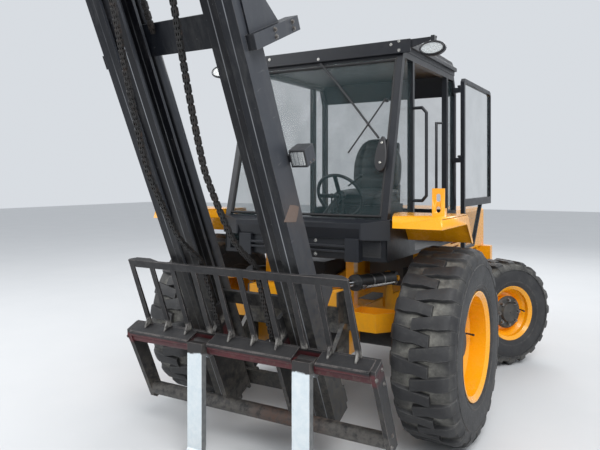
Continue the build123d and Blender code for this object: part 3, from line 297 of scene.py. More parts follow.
def fork_material():
    """White paint on the shanks, worn brown steel on the blades; faces that look sideways painted dark grey, which is
    painted shade.
    """
    m = Mat("fork_paint")
    x, y, z = m.axes()
    fine = m.noise(22.0, 7.0, 0.7)
    white = m.mix(m.ramp(fine, [(0.35, 0.0), (0.7, 1.0)]), (0.62, 0.70, 0.74), (0.74, 0.79, 0.81))
    steel = m.mix(m.ramp(fine, [(0.32, 0.0), (0.68, 1.0)]), (0.115, 0.080, 0.062), (0.26, 0.205, 0.17))
    shank = m.calc("ADD", z, m.calc("MULTIPLY", m.calc("SUBTRACT", m.noise(11.0, 5.0, 0.6), 0.5), 0.06))
    col = m.mix(m.span(shank, 0.048, 0.062), steel, white)
    col = m.mix(m.span(shank, FORK_WHITE_TOP - 0.004, FORK_WHITE_TOP + 0.004), col, (0.022, 0.020, 0.020))
    # Painted shade: faces that look sideways are painted dark grey instead of white
    side = m.mix(m.ramp(fine, [(0.4, 0.0), (0.65, 1.0)]), (0.05, 0.048, 0.045), (0.11, 0.105, 0.10))
    col = m.mix(m.calc("MULTIPLY", m.facing(0, 0.5, 0.7), 0.85), col, side)
    chips = m.calc("MULTIPLY", m.edges(0.004), m.ramp(m.noise(13.0, 6.0, 0.7), [(0.42, 0.0), (0.58, 0.9)]))
    scrape = m.ramp(m.noise(9.0, 8.0, 0.78, (1.0, 1.0, 0.25)), [(0.64, 0.0), (0.70, 0.8)])
    col = m.mix(m.calc("MAXIMUM", chips, scrape), col, (0.16, 0.13, 0.115))
    m.colour(col)
    m.rough(m.ramp(fine, [(0.3, 0.38), (0.75, 0.62)]))
    m.bump(m.noise(45.0, 5.0, 0.7), 0.12, 0.002)
    return m.m


def mast_material(name, colour, dark, highlight_x):
    """Black mast paint with painted light and shade: faces that look sideways painted a lighter slate than the
    near-black rest, and a painted highlight line along each rail's front; grease and dust low down, streaks along the
    rails, scuffs and worn edges.
    """
    m = Mat(name, MAST)
    x, y, s = m.axes()
    streak = m.noise(7.0, 6.0, 0.62, (1.0, 1.0, 0.12))
    fine = m.noise(28.0, 7.0, 0.72)
    col = m.mix(m.ramp(streak, [(0.36, 0.0), (0.66, 1.0)]), dark, colour)
    # Painted light and shade: faces that look sideways are painted a lighter slate, the others stay near black
    col = m.mix(m.facing(0), col, m.mix(streak, (0.034, 0.038, 0.046), (0.056, 0.060, 0.070)))
    low = m.calc("SUBTRACT", 1.0, m.span(s, 0.1, 1.1))
    mud = m.calc("MULTIPLY", low, m.ramp(fine, [(0.36, 0.1), (0.62, 0.72)]))
    col = m.mix(mud, col, (0.125, 0.115, 0.098))
    dust = m.ramp(m.noise(12.0, 7.0, 0.75, (1.0, 1.0, 0.3)), [(0.50, 0.0), (0.74, 0.30)])
    col = m.mix(dust, col, (0.11, 0.108, 0.105))
    worn = m.calc("MULTIPLY", m.edges(0.004), m.ramp(m.noise(9.0, 5.0, 0.7), [(0.45, 0.0), (0.62, 0.65)]))
    col = m.mix(worn, col, (0.14, 0.135, 0.13))
    scratch = m.ramp(m.noise(34.0, 4.0, 0.6, (1.0, 0.16, 1.0)), [(0.70, 0.0), (0.715, 0.5)])
    col = m.mix(scratch, col, (0.12, 0.12, 0.125))
    # Painted highlight: a thin light line on the faces that look forward or back, at a set distance from the middle
    aside = m.calc("ABSOLUTE", m.calc("SUBTRACT", m.calc("ABSOLUTE", x), highlight_x))
    painted_highlight_line = m.calc("SUBTRACT", 1.0, m.span(aside, 0.0015, 0.004))
    painted_highlight_line = m.calc("MULTIPLY", m.calc("MULTIPLY", painted_highlight_line, m.facing(1)), m.ramp(streak, [(0.40, 0.1), (0.60, 0.9)]))
    col = m.mix(painted_highlight_line, col, (0.30, 0.31, 0.33))
    socket(m.b, "Specular IOR Level", 0.3)
    m.colour(col)
    m.rough(m.calc("ADD", m.ramp(fine, [(0.3, 0.30), (0.75, 0.46)]), m.calc("MULTIPLY", mud, 0.4), True))
    m.bump(m.noise(70.0, 4.0, 0.6), 0.08, 0.002)
    return m.m


def tyre_material(name, radius, ground):
    """Rubber in the wheel's own frame: dust and clay between the bars, dark smooth bar tops, scuffed sides."""
    m = Mat(name)
    x, y, z = m.axes()
    r = m.calc("SQRT", m.calc("ADD", m.calc("MULTIPLY", y, y), m.calc("MULTIPLY", z, z)))
    fine = m.noise(30.0, 7.0, 0.72)
    big = m.noise(6.0, 4.0, 0.6)
    col = m.mix(m.ramp(big, [(0.36, 0.0), (0.64, 1.0)]), (0.016, 0.016, 0.018), (0.030, 0.030, 0.031))
    clay = m.mix(m.ramp(fine, [(0.35, 0.0), (0.7, 1.0)]), (0.13, 0.125, 0.11), (0.36, 0.35, 0.31))
    void = m.calc("SUBTRACT", 1.0, m.span(r, ground + 0.002, ground + 0.012))
    void = m.calc("MULTIPLY", void, m.calc("SUBTRACT", 1.0, m.span(m.calc("ABSOLUTE", x), 0.03, 0.19)))
    tread = m.span(r, ground - 0.045, ground - 0.030)
    void = m.calc("MULTIPLY", m.calc("MULTIPLY", void, tread), m.ramp(big, [(0.36, 0.12), (0.56, 1.0)]))
    col = m.mix(void, col, clay)
    scuff = m.calc("MULTIPLY", m.ramp(fine, [(0.50, 0.0), (0.72, 0.7)]), m.ramp(big, [(0.44, 0.02), (0.68, 0.6)]))
    col = m.mix(scuff, col, (0.13, 0.128, 0.12))
    worn = m.calc("MULTIPLY", m.edges(0.008, 0.01, 0.10), m.ramp(fine, [(0.38, 0.0), (0.6, 0.5)]))
    col = m.mix(worn, col, (0.15, 0.145, 0.135))
    m.colour(col)
    m.rough(m.calc("ADD", m.ramp(fine, [(0.3, 0.50), (0.75, 0.72)]), m.calc("MULTIPLY", void, 0.3), True))
    m.bump(m.noise(40.0, 6.0, 0.75), 0.35, 0.004)
    return m.m


BLACK = (0.012, 0.014, 0.019)
FORK_WHITE_TOP = 0.640
MATS = {
    "yellow_paint": paint("yellow_paint", (0.93, 0.405, 0.008), (0.88, 0.37, 0.007), 0.24, (0.34, 0.20, 0.08),
                          0.20, 0.35, (0.10, 0.07, 0.05), 0.5, 0.5, 0.9),
    "rim_yellow": paint("rim_yellow", (0.95, 0.41, 0.006), (0.90, 0.375, 0.006), 0.24, (0.36, 0.22, 0.09), 0.18, 0.4,
                        (0.12, 0.08, 0.05), 0.4),
    "black_paint": paint("black_paint", (0.014, 0.015, 0.018), (0.008, 0.009, 0.011), 0.45,
                         (0.11, 0.10, 0.085), 0.35, 0.0, (0.12, 0.11, 0.10), 0.5, 0.6),
    "cab_black": paint("cab_black", BLACK, (0.008, 0.009, 0.012), 0.36, (0.07, 0.07, 0.07), 0.12, 0.0,
                       (0.08, 0.085, 0.09), 0.4, 0.3, 1.5),
    "white_paint": fork_material(),
    "worn_steel": paint("worn_steel", (0.115, 0.014, 0.020), (0.060, 0.014, 0.018), 0.45, (0.15, 0.12, 0.10), 0.6),
    "chain_steel": paint("chain_steel", (0.018, 0.016, 0.015), (0.008, 0.008, 0.008), 0.5, (0.075, 0.036, 0.020), 0.45),
    "tyre_rubber": tyre_material("tyre_rubber", 0.625, 0.589),
    "plastic_black": paint("plastic_black", (0.020, 0.020, 0.022), (0.014, 0.014, 0.016), 0.45,
                           (0.09, 0.09, 0.09), 0.15),
    "seat_vinyl": paint("seat_vinyl", (0.028, 0.028, 0.030), (0.018, 0.018, 0.020), 0.52, (0.10, 0.10, 0.095), 0.2),
    "engine_grey": paint("engine_grey", (0.10, 0.10, 0.10), (0.06, 0.06, 0.06), 0.55, (0.12, 0.09, 0.07), 0.5),
    "chrome": metal("chrome", (0.78, 0.79, 0.80), 0.14, (0.30, 0.27, 0.24), 0.35),
}


def glass_material(name, tint, alpha, rough=0.03):
    m = Mat(name)
    socket(m.b, "Base Color", (*tint, 1.0))
    film = m.ramp(m.noise(3.0, 5.0, 0.6), [(0.4, alpha), (0.75, alpha + 0.08)])
    m.link(film, m.b.inputs["Alpha"])
    socket(m.b, "Roughness", rough)
    socket(m.b, "Specular IOR Level", 0.45)
    return m.m


MATS["glass"] = glass_material("glass", (0.045, 0.075, 0.080), 0.15)
MATS["lamp_clear"] = glass_material("lamp_clear", (0.80, 0.84, 0.86), 0.25)
BOLT = metal("bolt_steel", (0.30, 0.29, 0.28), 0.38, (0.10, 0.07, 0.05), 0.8)
BRIGHT = metal("bright_steel", (0.75, 0.74, 0.70), 0.22, (0.30, 0.27, 0.23), 0.4)
RUBBER = paint("seal_rubber", (0.014, 0.014, 0.015), (0.010, 0.010, 0.011), 0.65, (0.07, 0.07, 0.065), 0.3)
BROWN = paint("worn_patch", (0.16, 0.115, 0.095), (0.11, 0.08, 0.065), 0.6, (0.22, 0.19, 0.17), 0.5)
RED = paint("red_lens", (0.45, 0.012, 0.010), (0.38, 0.010, 0.008), 0.15, (0.3, 0.1, 0.1), 0.1, 0.5)
MAST_BLACK = mast_material("mast_paint", (0.012, 0.014, 0.019), (0.005, 0.006, 0.009), 0.400)
INNER_BLACK = mast_material("inner_mast_paint", (0.009, 0.010, 0.013), (0.004, 0.004, 0.006), 0.305)
CARRIAGE = carriage_material()
OWN = {"chassis_frame": nose_material(), "outer_mast": MAST_BLACK, "inner_mast": INNER_BLACK,
       "lift_barrels": INNER_BLACK, "carriage": CARRIAGE, "backrest": CARRIAGE}

for row in RECORD["subparts"]:
    o = NODES[row["node"]]
    o.data.materials.clear()
    o.data.materials.append(OWN.get(row["node"], MATS[row["material_slot"]]))

BEVELLED = {"outer_mast": 0.004, "inner_mast": 0.004, "carriage": 0.004, "backrest": 0.002, "chassis_frame": 0.003,
            "counterweight": 0.010, "hood": 0.002, "side_tanks": 0.006, "fenders": 0.002, "cab_frame": 0.004,
            "cab_roof": 0.006, "cab_cowl": 0.005, "door": 0.004, "fork_left": 0.004, "fork_right": 0.004,
            "roof_lamps": 0.004, "front_axle": 0.005, "rear_axle": 0.005, "dash": 0.008, "engine_block": 0.01}
for node, width in BEVELLED.items():
    o = NODES[node]
    weld = o.modifiers.new("weld", "WELD")
    weld.merge_threshold = 0.00005
    bevel = o.modifiers.new("bevel", "BEVEL")
    bevel.width = width
    bevel.segments = 2
    bevel.limit_method = "ANGLE"
    bevel.angle_limit = math.radians(35)
    bevel.harden_normals = True


# Mesh building

class Build:
    """Collects shapes in one mesh, in the row's frame or in one given by a matrix."""

    def __init__(self, matrix=None):
        self.bm = bmesh.new()
        self.matrix = matrix or Matrix.Identity(4)

    def box(self, low, high, turn=None):
        low, high = Vector(low), Vector(high)
        size = high - low
        m = Matrix.Translation((low + high) / 2) @ (turn or Matrix.Identity(4))
        bmesh.ops.create_cube(self.bm, size=1.0, matrix=m @ Matrix.Diagonal((*[abs(v) for v in size], 1.0)))
        return self

    def rod(self, a, b, r, sides=16):
        a, b = Vector(a), Vector(b)
        d = b - a
        m = Matrix.Translation((a + b) / 2) @ d.to_track_quat("Z", "Y").to_matrix().to_4x4()
        bmesh.ops.create_cone(self.bm, cap_ends=True, segments=sides, radius1=r, radius2=r,
                              depth=d.length, matrix=m)
        return self

    def bolt(self, where, axis, r=0.012, h=0.010):
        """A hexagon head on a washer."""
        where, axis = Vector(where), Vector(axis).normalized()
        self.rod(where - axis * 0.002, where + axis * h * 0.25, r * 1.35, 18)
        self.rod(where, where + axis * h, r, 6)
        self.rod(where + axis * h * 0.95, where + axis * h * 1.25, r * 0.45, 10)
        return self

    def ball(self, c, r, sides=14):
        bmesh.ops.create_uvsphere(self.bm, u_segments=sides, v_segments=sides // 2, radius=r,
                                  matrix=Matrix.Translation(Vector(c)))
        return self

    def prism(self, outline, low, high, axis="x"):
        """An outline of two coordinates, pushed out along the third axis."""
        def point(p, d):
            return {"x": (d, *p), "y": (p[0], d, p[1]), "z": (*p, d)}[axis]
        a = [self.bm.verts.new(point(p, low)) for p in outline]
        b = [self.bm.verts.new(point(p, high)) for p in outline]
        n = len(outline)
        self.bm.faces.new(a)
        self.bm.faces.new(b[::-1])
        for i in range(n):
            self.bm.faces.new((a[i], b[i], b[(i + 1) % n], a[(i + 1) % n]))
        return self

    def ring(self, outline, centre, axis="x", sides=48):
        """An outline of (along, radius) turned about an axis through centre; a closed outline makes a ring."""
        rows = []
        for i in range(sides):
            t = 2 * math.pi * i / sides
            row = []
            for along, r in outline:
                u, v = r * math.cos(t), r * math.sin(t)
                p = {"x": (along, u, v), "y": (u, along, v), "z": (u, v, along)}[axis]
                row.append(self.bm.verts.new(Vector(centre) + Vector(p)))
            rows.append(row)
        n = len(outline)
        for i in range(sides):
            j = (i + 1) % sides
            for k in range(n):
                self.bm.faces.new((rows[i][k], rows[i][(k + 1) % n], rows[j][(k + 1) % n], rows[j][k]))
        return self

    def tube(self, points, r, sides=12, smooth=6):
        """A round tube on a smooth line through the points."""
        line = spline(points, smooth)
        side = Vector((0.31, 0.17, 0.93))
        rows = []
        for i, p in enumerate(line):
            d = (line[min(i + 1, len(line) - 1)] - line[max(i - 1, 0)]).normalized()
            u = d.cross(side).normalized()
            v = d.cross(u)
            turns = [2 * math.pi * k / sides for k in range(sides)]
            rows.append([self.bm.verts.new(p + (u * math.cos(t) + v * math.sin(t)) * r) for t in turns])
        for a, b in zip(rows, rows[1:]):
            for k in range(sides):
                self.bm.faces.new((a[k], a[(k + 1) % sides], b[(k + 1) % sides], b[k]))
        self.bm.faces.new(rows[0][::-1])
        self.bm.faces.new(rows[-1])
        return self

    def mirror(self):
        """Adds the mirror image across the machine's middle."""
        made = bmesh.ops.duplicate(self.bm, geom=list(self.bm.verts) + list(self.bm.edges) + list(self.bm.faces))
        verts = [g for g in made["geom"] if isinstance(g, bmesh.types.BMVert)]
        for v in verts:
            v.co.x = -v.co.x
        bmesh.ops.reverse_faces(self.bm, faces=[g for g in made["geom"] if isinstance(g, bmesh.types.BMFace)])
        return self

    def done(self, name, material, body=None, slot=None, replaces=(), bevel=0.0, angle=35, own=False):
        """Makes the object; own keeps its coordinates local to the matrix, for materials that need them."""
        bmesh.ops.recalc_face_normals(self.bm, faces=self.bm.faces)
        mesh = bpy.data.meshes.new(name)
        self.bm.to_mesh(mesh)
        self.bm.free()
        mesh.polygons.foreach_set("use_smooth", [True] * len(mesh.polygons))
        mesh.set_sharp_from_angle(angle=math.radians(angle))
        mesh.materials.append(material)
        o = bpy.data.objects.new(name, mesh)
        bpy.context.scene.collection.objects.link(o)
        if own:
            o.matrix_world = self.matrix
        else:
            mesh.transform(self.matrix)
        if bevel:
            mod = o.modifiers.new("bevel", "BEVEL")
            mod.width = bevel
            mod.segments = 2
            mod.limit_method = "ANGLE"
            mod.angle_limit = math.radians(35)
        if body:
            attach(o, body)
        if replaces:
            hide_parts(*replaces)
        return o


def spline(points, steps=6):
    """A smooth line through the points (Catmull-Rom)."""
    pts = [Vector(p) for p in points]
    if steps < 2 or len(pts) < 3:
        return pts
    pts = [pts[0] * 2 - pts[1]] + pts + [pts[-1] * 2 - pts[-2]]
    line = []
    for a, b, c, d in zip(pts, pts[1:], pts[2:], pts[3:]):
        for i in range(steps):
            t = i / steps
            line.append(0.5 * ((2 * b) + (c - a) * t + (2 * a - 5 * b + 4 * c - d) * t * t
                               + (3 * b - a - 3 * c + d) * t ** 3))
    line.append(pts[-2])
    return line


# Tyres: rounded carcass with chunky bars in two rows, in the wheel's own frame

def tyre(node, body, rim_node, radius, half, flange, lugs, thick):
    lo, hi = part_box(rim_node)
    side = 1 if (lo + hi).x > 0 else -1
    joint = [j for j in frame["joints"] if j["child"] == body][0]
    axis = Vector(joint["axis"])
    # the wheel's middle lies on its axis at the middle of the rim
    middle = (lo + hi) / 2
    turn = math.atan2(axis.y, axis.x)
    matrix = Matrix.Translation(middle) @ Matrix.Rotation(turn, 4, "Z")
    ground = radius - 0.036
    b = Build(matrix)
    seat = half * 0.86
    bulge = flange + 0.42 * (radius - flange)
    outline = [(seat - 0.004, flange - 0.008), (seat, flange + 0.004), (half * 0.95, flange + 0.022),
               (half * 0.985, bulge - 0.05), (half, bulge), (half * 0.99, bulge + 0.04),
               (half * 0.965, radius - 0.085), (half * 0.93, radius - 0.060),
               (half * 0.86, ground - 0.006), (half * 0.70, ground), (half * 0.35, ground + 0.002), (0, ground + 0.003)]
    outline += [(-x, r) for x, r in outline[-2::-1]]
    b.ring(outline, (0, 0, 0), "x", 96)
    pitch = 2 * math.pi / lugs
    skew = math.radians(12)
    rows = 9
    for row_side in (1, -1):
        for i in range(lugs):
            middle_angle = pitch * (i + (0.0 if row_side * side > 0 else 0.5))
            chip = random.uniform(-0.0015, 0.0015)
            grid = []
            for k in range(rows):
                f = k / (rows - 1)
                x = -0.28 * half + f * (1.28 * half - 0.004)
                lean = math.tan(skew) * (x - 0.45 * half)
                drop = max(0.0, f - 0.80) / 0.20
                top = radius - 0.0035 + chip - 0.060 * drop ** 1.6
                base = ground - 0.010 - 0.055 * drop ** 1.2
                w = thick / 2
                low = w + 0.20 * thick * min(1.0, max(0.0, (f - 0.42) / 0.16))
                section = [(-low - 0.006, base), (-low, top - 0.012), (-low + 0.006, top - 0.002), (-w * 0.3, top),
                           (w * 0.3, top), (w - 0.006, top - 0.002), (w, top - 0.012), (w + 0.006, base)]
                line = []
                for v, r in section:
                    a = middle_angle + (v + lean) / radius
                    line.append(b.bm.verts.new((x * row_side, r * math.sin(a), r * math.cos(a))))
                grid.append(line)
            for p, q in zip(grid, grid[1:]):
                for k in range(len(p) - 1):
                    b.bm.faces.new((p[k], p[k + 1], q[k + 1], q[k]))
                b.bm.faces.new((p[-1], p[0], q[0], q[-1]))
            b.bm.faces.new(grid[0])
            b.bm.faces.new(grid[-1][::-1])
    # raised rings on the outer and inner wall
    for s in (1, -1):
        for r, w in ((flange + 0.040, 0.006), (bulge + 0.052, 0.004)):
            x = half * (0.957 if r < bulge else 0.98)
            b.ring([(s * (x - 0.004), r - w), (s * (x + 0.0045), r - w * 0.4), (s * (x + 0.0045), r + w * 0.4),
                    (s * (x - 0.004), r + w)], (0, 0, 0), "x", 96)
    b.done(node + "_tread", TYRES[radius > 0.55], body, "tyre_rubber", (node,), own=True)
    return matrix, side


TYRES = {True: MATS["tyre_rubber"], False: tyre_material("tyre_rubber_rear", 0.475, 0.439)}
WHEELS = (("front_left", 0.625, 0.1975, 0.347, 22, 0.078), ("front_right", 0.625, 0.1975, 0.347, 22, 0.078),
          ("rear_left", 0.475, 0.160, 0.249, 20, 0.064), ("rear_right", 0.475, 0.160, 0.249, 20, 0.064))
for place, radius, half, flange, lugs, thick in WHEELS:
    front = place.startswith("front")
    matrix, side = tyre(f"tyre_{place}", f"wheel_{place}", f"rim_{place}", radius, half, flange, lugs, thick)
    disc = (-0.010 if front else 0.020) * side
    hub = 0.150 if front else 0.145
    nuts, hubs = Build(matrix), Build(matrix)
    count, circle = (10, 0.205) if front else (8, 0.112)
    for i in range(count):
        a = 2 * math.pi * i / count
        face = disc + (0.001 if front else 0.071) * side
        nuts.bolt((face, circle * math.cos(a), circle * math.sin(a)), (side, 0, 0), 0.014, 0.020)
    nuts.done(f"wheel_nuts_{place}", BOLT, f"wheel_{place}", own=True)
    d = disc
    hubs.ring([(d + 0.052 * side, hub + 0.002), (d + 0.058 * side, hub + 0.002), (d + 0.0725 * side, hub - 0.016),
               (d + 0.0725 * side, hub * 0.64), (d + 0.0975 * side, hub * 0.565), (d + 0.0975 * side, 0.004),
               (d + 0.094 * side, 0.004), (d + 0.094 * side, hub * 0.5), (d + 0.069 * side, hub * 0.6),
               (d + 0.069 * side, hub - 0.02)],
              (0, 0, 0), "x", 48)
    hubs.done(f"hub_cover_{place}", MATS["black_paint"], f"wheel_{place}", bevel=0.003, own=True)
    valve = Build(matrix)
    r = flange - 0.060
    valve.tube([(disc + 0.02 * side, r - 0.02, 0), (disc + 0.05 * side, r - 0.01, 0),
                (disc + 0.085 * side, r - 0.022, 0)], 0.006, 8, 4)
    valve.rod((disc + 0.085 * side, r - 0.022, 0), (disc + 0.102 * side, r - 0.028, 0), 0.008, 10)
    valve.done(f"valve_{place}", MATS["plastic_black"], f"wheel_{place}", own=True)


# Chains of plates and pins in the mast's frame, over the sheaves; links take turns in their plates' places

CHAIN_X, CHAIN_PITCH, CHAIN_WIDTH, LINK_PLATE = 0.190, 0.0254, 0.034, 0.005
OUTER_LINKS, INNER_LINKS = (-0.0150, -0.0025, 0.0100), (-0.0085, 0.0035)

def chain(name, points, node):
    b = Build(MAST)
    for x in (CHAIN_X, -CHAIN_X):
        line = spline([(x, -n, s) for n, s in points], 24)
        marks, run, last = [line[0]], 0.0, line[0]
        for p in line[1:]:
            step = (p - last).length
            while run + step >= CHAIN_PITCH:
                t = (CHAIN_PITCH - run) / step
                last = last + (p - last) * t
                marks.append(last)
                step = (p - last).length
                run = 0.0
            run += step
            last = p
        for i, (p, q) in enumerate(zip(marks, marks[1:])):
            d = (q - p).normalized()
            up = Vector((1, 0, 0)).cross(d)
            outline = []
            for centre, sign in ((p, -1), (q, 1)):
                for k in range(5):
                    a = math.radians(-68 + 34 * k)
                    outline.append(centre + d * sign * 0.0105 * math.cos(a) + up * sign * 0.0105 * math.sin(a))
            for off in OUTER_LINKS if i % 2 else INNER_LINKS:
                a = [b.bm.verts.new(v + Vector((off, 0, 0))) for v in outline]
                c = [b.bm.verts.new(v + Vector((off + LINK_PLATE, 0, 0))) for v in outline]
                b.bm.faces.new(a)
                b.bm.faces.new(c[::-1])
                for k in range(len(a)):
                    b.bm.faces.new((a[k], c[k], c[(k + 1) % len(a)], a[(k + 1) % len(a)]))
            b.rod(p - Vector((CHAIN_WIDTH / 2, 0, 0)), p + Vector((CHAIN_WIDTH / 2, 0, 0)), 0.0045, 8)
    o = b.done(name, MATS["chain_steel"], None, "chain_steel", (node,))
    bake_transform(o)


SHEAVE_N, SHEAVE_S, SHEAVE_R = 0.230, 2.890, 0.087


def over_sheave(*angles):
    """Places on the sheave's rim, as (forward, up) in the mast's frame."""
    turns = [math.radians(a) for a in angles]
    return [(SHEAVE_N + SHEAVE_R * math.cos(t), SHEAVE_S + SHEAVE_R * math.sin(t)) for t in turns]


# The front run hangs slack in front of the rails, as in the photograph
SLACK_RUN = [(0.330, 2.640), (0.368, 2.318), (0.433, 1.941), (0.478, 1.600), (0.480, 1.430), (0.427, 1.100),
             (0.350, 0.935), (0.306, 0.850), (0.309, 0.716), (0.3316, 0.315)]
chain("lift_chains", over_sheave(80, 45, 0) + SLACK_RUN, "chain_front")
ANCHOR_RUN = [(0.146, 2.70), (0.146, 2.45), (0.146, 2.155)]
chain("anchor_chains", over_sheave(105, 140, 180) + ANCHOR_RUN, "chain_rear")

# Seat: crowned cushions with sewn channels, in the place of the plain one

SEAT_ROUND = 5.0
SEAM_DEPTH, SEAM_WIDTH = 0.014, 0.035
SIDE_SEAM, SIDE_DEPTH, SIDE_WIDTH = 0.62, 0.010, 0.04
BOLSTER_START, NARROW_START = 0.55, 0.15
CUSHION_CUTS = 25
PIPING_PLACE, PIPING_R, PIPING_STEPS = 0.30, 0.0045, 48


def cushion(name, matrix, half, crown, seams, taper=0.0, bolster=0.0):
    """A stuffed cushion: a rounded box with a crowned face, sewn channels across it and piping round its edge."""
    def shape(p):
        size = sum(abs(c) ** SEAT_ROUND for c in p) ** (1 / SEAT_ROUND)
        u, v, w = p / size
        face = max(0.0, w)
        lift = crown * (1 - u * u) * (1 - v * v) * face + bolster * max(0.0, abs(u) - BOLSTER_START) * face
        for seam in seams:
            lift -= SEAM_DEPTH * face * math.exp(-((v - seam) / SEAM_WIDTH) ** 2) * (1 - u ** 4)
        lift -= SIDE_DEPTH * face * math.exp(-((abs(u) - SIDE_SEAM) / SIDE_WIDTH) ** 2)
        narrow = 1 - taper * max(0.0, v + NARROW_START) ** 2
        return Vector((u * half[0] * narrow, v * half[1], w * half[2] + lift))

    b = Build(matrix)
    bmesh.ops.create_cube(b.bm, size=2.0)
    bmesh.ops.subdivide_edges(b.bm, edges=b.bm.edges[:], cuts=CUSHION_CUTS, use_grid_fill=True)
    for v in b.bm.verts:
        v.co = shape(v.co.copy())
    o = b.done(name, VINYL, "chassis", "seat_vinyl", angle=80)
    smooth = o.modifiers.new("smooth", "SUBSURF")
    smooth.levels = smooth.render_levels = 1
    piping = Build(matrix)
    loop = []
    for i in range(PIPING_STEPS + 1):
        t = 2 * math.pi * i / PIPING_STEPS
        c, s = math.cos(t), math.sin(t)
        loop.append(shape(Vector((c, s, PIPING_PLACE * max(abs(c), abs(s))))))
    piping.tube(loop, PIPING_R, 8, 1)
    piping.done(name + "_piping", RUBBER, "chassis", "seat_vinyl", angle=80)
    return o


def vinyl_material():
    """Black seat vinyl: a fine grain, dusty in patches."""
    m = Mat("seat_vinyl_worn")
    grain = m.noise(150.0, 3.0, 0.6)
    dusty = m.ramp(m.noise(7.0, 6.0, 0.65), [(0.42, 0.0), (0.68, 0.6)])
    m.colour(m.mix(dusty, (0.022, 0.022, 0.024), (0.060, 0.058, 0.054)))
    m.rough(m.ramp(grain, [(0.3, 0.42), (0.75, 0.62)]))
    m.bump(grain, 0.25, 0.0012)
    return m.m


def profile(*places):
    """Side view places (y, z) from the front axle, in the row's frame."""
    return [(y - ORIGIN_Y, z) for y, z in places]


VINYL = vinyl_material()
SEAT_TILT, SEAT_LEAN = math.radians(4), math.radians(8)
base = cushion("seat_cushion", Matrix.Translation(at(0, 0.800, 1.535)) @ Matrix.Rotation(SEAT_TILT, 4, "X"),
               (0.235, 0.235, 0.052), 0.022, (-0.42, 0.0, 0.42), 0.0, 0.05)
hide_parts("seat")
upright = Matrix.Rotation(math.radians(90) - SEAT_LEAN, 4, "X")
cushion("seat_back_cushion", Matrix.Translation(at(0, 1.045, 1.815)) @ upright,
        (0.215, 0.225, 0.045), 0.020, (-0.50, -0.15, 0.20, 0.52), 0.30, 0.04)
pan = Build()
pan.box(at(-0.215, 0.590, 1.470), at(0.215, 1.020, 1.492))
for x in (-0.150, 0.150):
    pan.box(at(x - 0.018, 0.570, 1.462), at(x + 0.018, 1.040, 1.478))
handle = [at(x, y, z) for x, y, z in ((-0.13, 0.600, 1.480), (-0.13, 0.545, 1.476), (0.0, 0.530, 1.476),
                                      (0.13, 0.545, 1.476), (0.13, 0.600, 1.480))]
pan.tube(handle, 0.007, 10, 5)
shell = profile((0.95, 1.555), (1.075, 1.565), (1.125, 1.990), (1.105, 2.010), (1.050, 1.600), (0.95, 1.580))
pan.prism(shell, -0.175, 0.175)
bracket = profile((0.88, 1.480), (1.06, 1.480), (1.075, 1.640), (1.045, 1.650), (1.00, 1.530), (0.88, 1.500))
for x in (-0.195, 0.195):
    pan.prism(bracket, x - 0.006, x + 0.006)
    pan.bolt(at(x + math.copysign(0.006, x), 1.03, 1.560), (math.copysign(1, x), 0, 0), 0.012, 0.010)
pan.done("seat_frame", MATS["plastic_black"], "chassis", "plastic_black", bevel=0.003)

# Front fenders: their inner front corners are cut off on the slant

FENDER_CUT_FRONT, FENDER_CUT_BACK = (0.790, -0.600), (0.645, -0.208)
FENDER_SHEET, FENDER_SKIRT = 0.006, (1.4055, 1.4695)
fender = Build()
fender.bm.from_mesh(NODES["fenders"].data)
bmesh.ops.remove_doubles(fender.bm, verts=fender.bm.verts[:], dist=0.00005)
for sign in (1, -1):
    a = at(FENDER_CUT_FRONT[0] * sign, FENDER_CUT_FRONT[1], 0)
    c = at(FENDER_CUT_BACK[0] * sign, FENDER_CUT_BACK[1], 0)
    normal = Vector((c - a).cross(Vector((0, 0, 1)))).normalized()
    if normal.x * sign > 0:
        normal = -normal
    parts = [v for v in fender.bm.verts if v.co.x * sign > 0]
    geom = parts + list({e for v in parts for e in v.link_edges}) + list({f for v in parts for f in v.link_faces})
    cut = bmesh.ops.bisect_plane(fender.bm, geom=geom, dist=0.00001, plane_co=a, plane_no=normal, clear_outer=True)
    edges = [g for g in cut["geom_cut"] if isinstance(g, bmesh.types.BMEdge) and g.is_valid]
    bmesh.ops.triangle_fill(fender.bm, edges=edges, use_beauty=True)
    inward = normal * FENDER_SHEET
    plan = [a.lerp(c, 0.056), c]
    plan = [(p.x, p.y) for p in plan] + [((p - inward).x, (p - inward).y) for p in plan[::-1]]
    fender.prism(plan, *FENDER_SKIRT, "z")
fender.done("front_fenders", MATS["yellow_paint"], "chassis", "yellow_paint", ("fenders",))

# Dark plates below the cab's sill
sill = Build()
sill.box(at(0.628, -0.310, 1.160), at(0.6415, 0.200, 1.430))
sill.mirror()
sill.done("sill_panels", MATS["cab_black"], "chassis", "cab_black", bevel=0.002)

# Carriage: cover plate over the fork shaft in three stretches, end plate bolts, chain anchors
COVERS = ((-0.848, -0.360), (-0.210, 0.380), (0.530, 0.848))
cover = Build(MAST)
for low, high in COVERS:
    cover.box((low, -0.452, 0.353), (high, -0.344, 0.363))
    cover.box((low, -0.459, 0.331), (high, -0.450, 0.363))
    cover.rod((low + 0.004, -0.450, 0.3635), (high - 0.004, -0.450, 0.3635), 0.0035, 8)
cover.done("shaft_cover", CARRIAGE, "carriage", "black_paint", bevel=0.0015)
ends = Build(MAST)
for sign in (1, -1):
    for n, s in ((0.370, 0.320), (0.452, 0.318), (0.380, 0.235), (0.405, -0.100), (0.440, -0.150)):
        ends.bolt((sign * 0.8795, -n, s), (sign, 0, 0), 0.0095, 0.008)
for x in (-CHAIN_X, CHAIN_X):
    ends.box((x - 0.024, -0.3435, 0.262), (x + 0.024, -0.318, 0.318))
    ends.rod((x, -0.331, 0.318), (x, -0.331, 0.345), 0.009, 12)
    ends.bolt((x, -0.331, 0.262), (0, 0, -1), 0.013, 0.014)
ends.done("carriage_bolts", BOLT, "carriage")

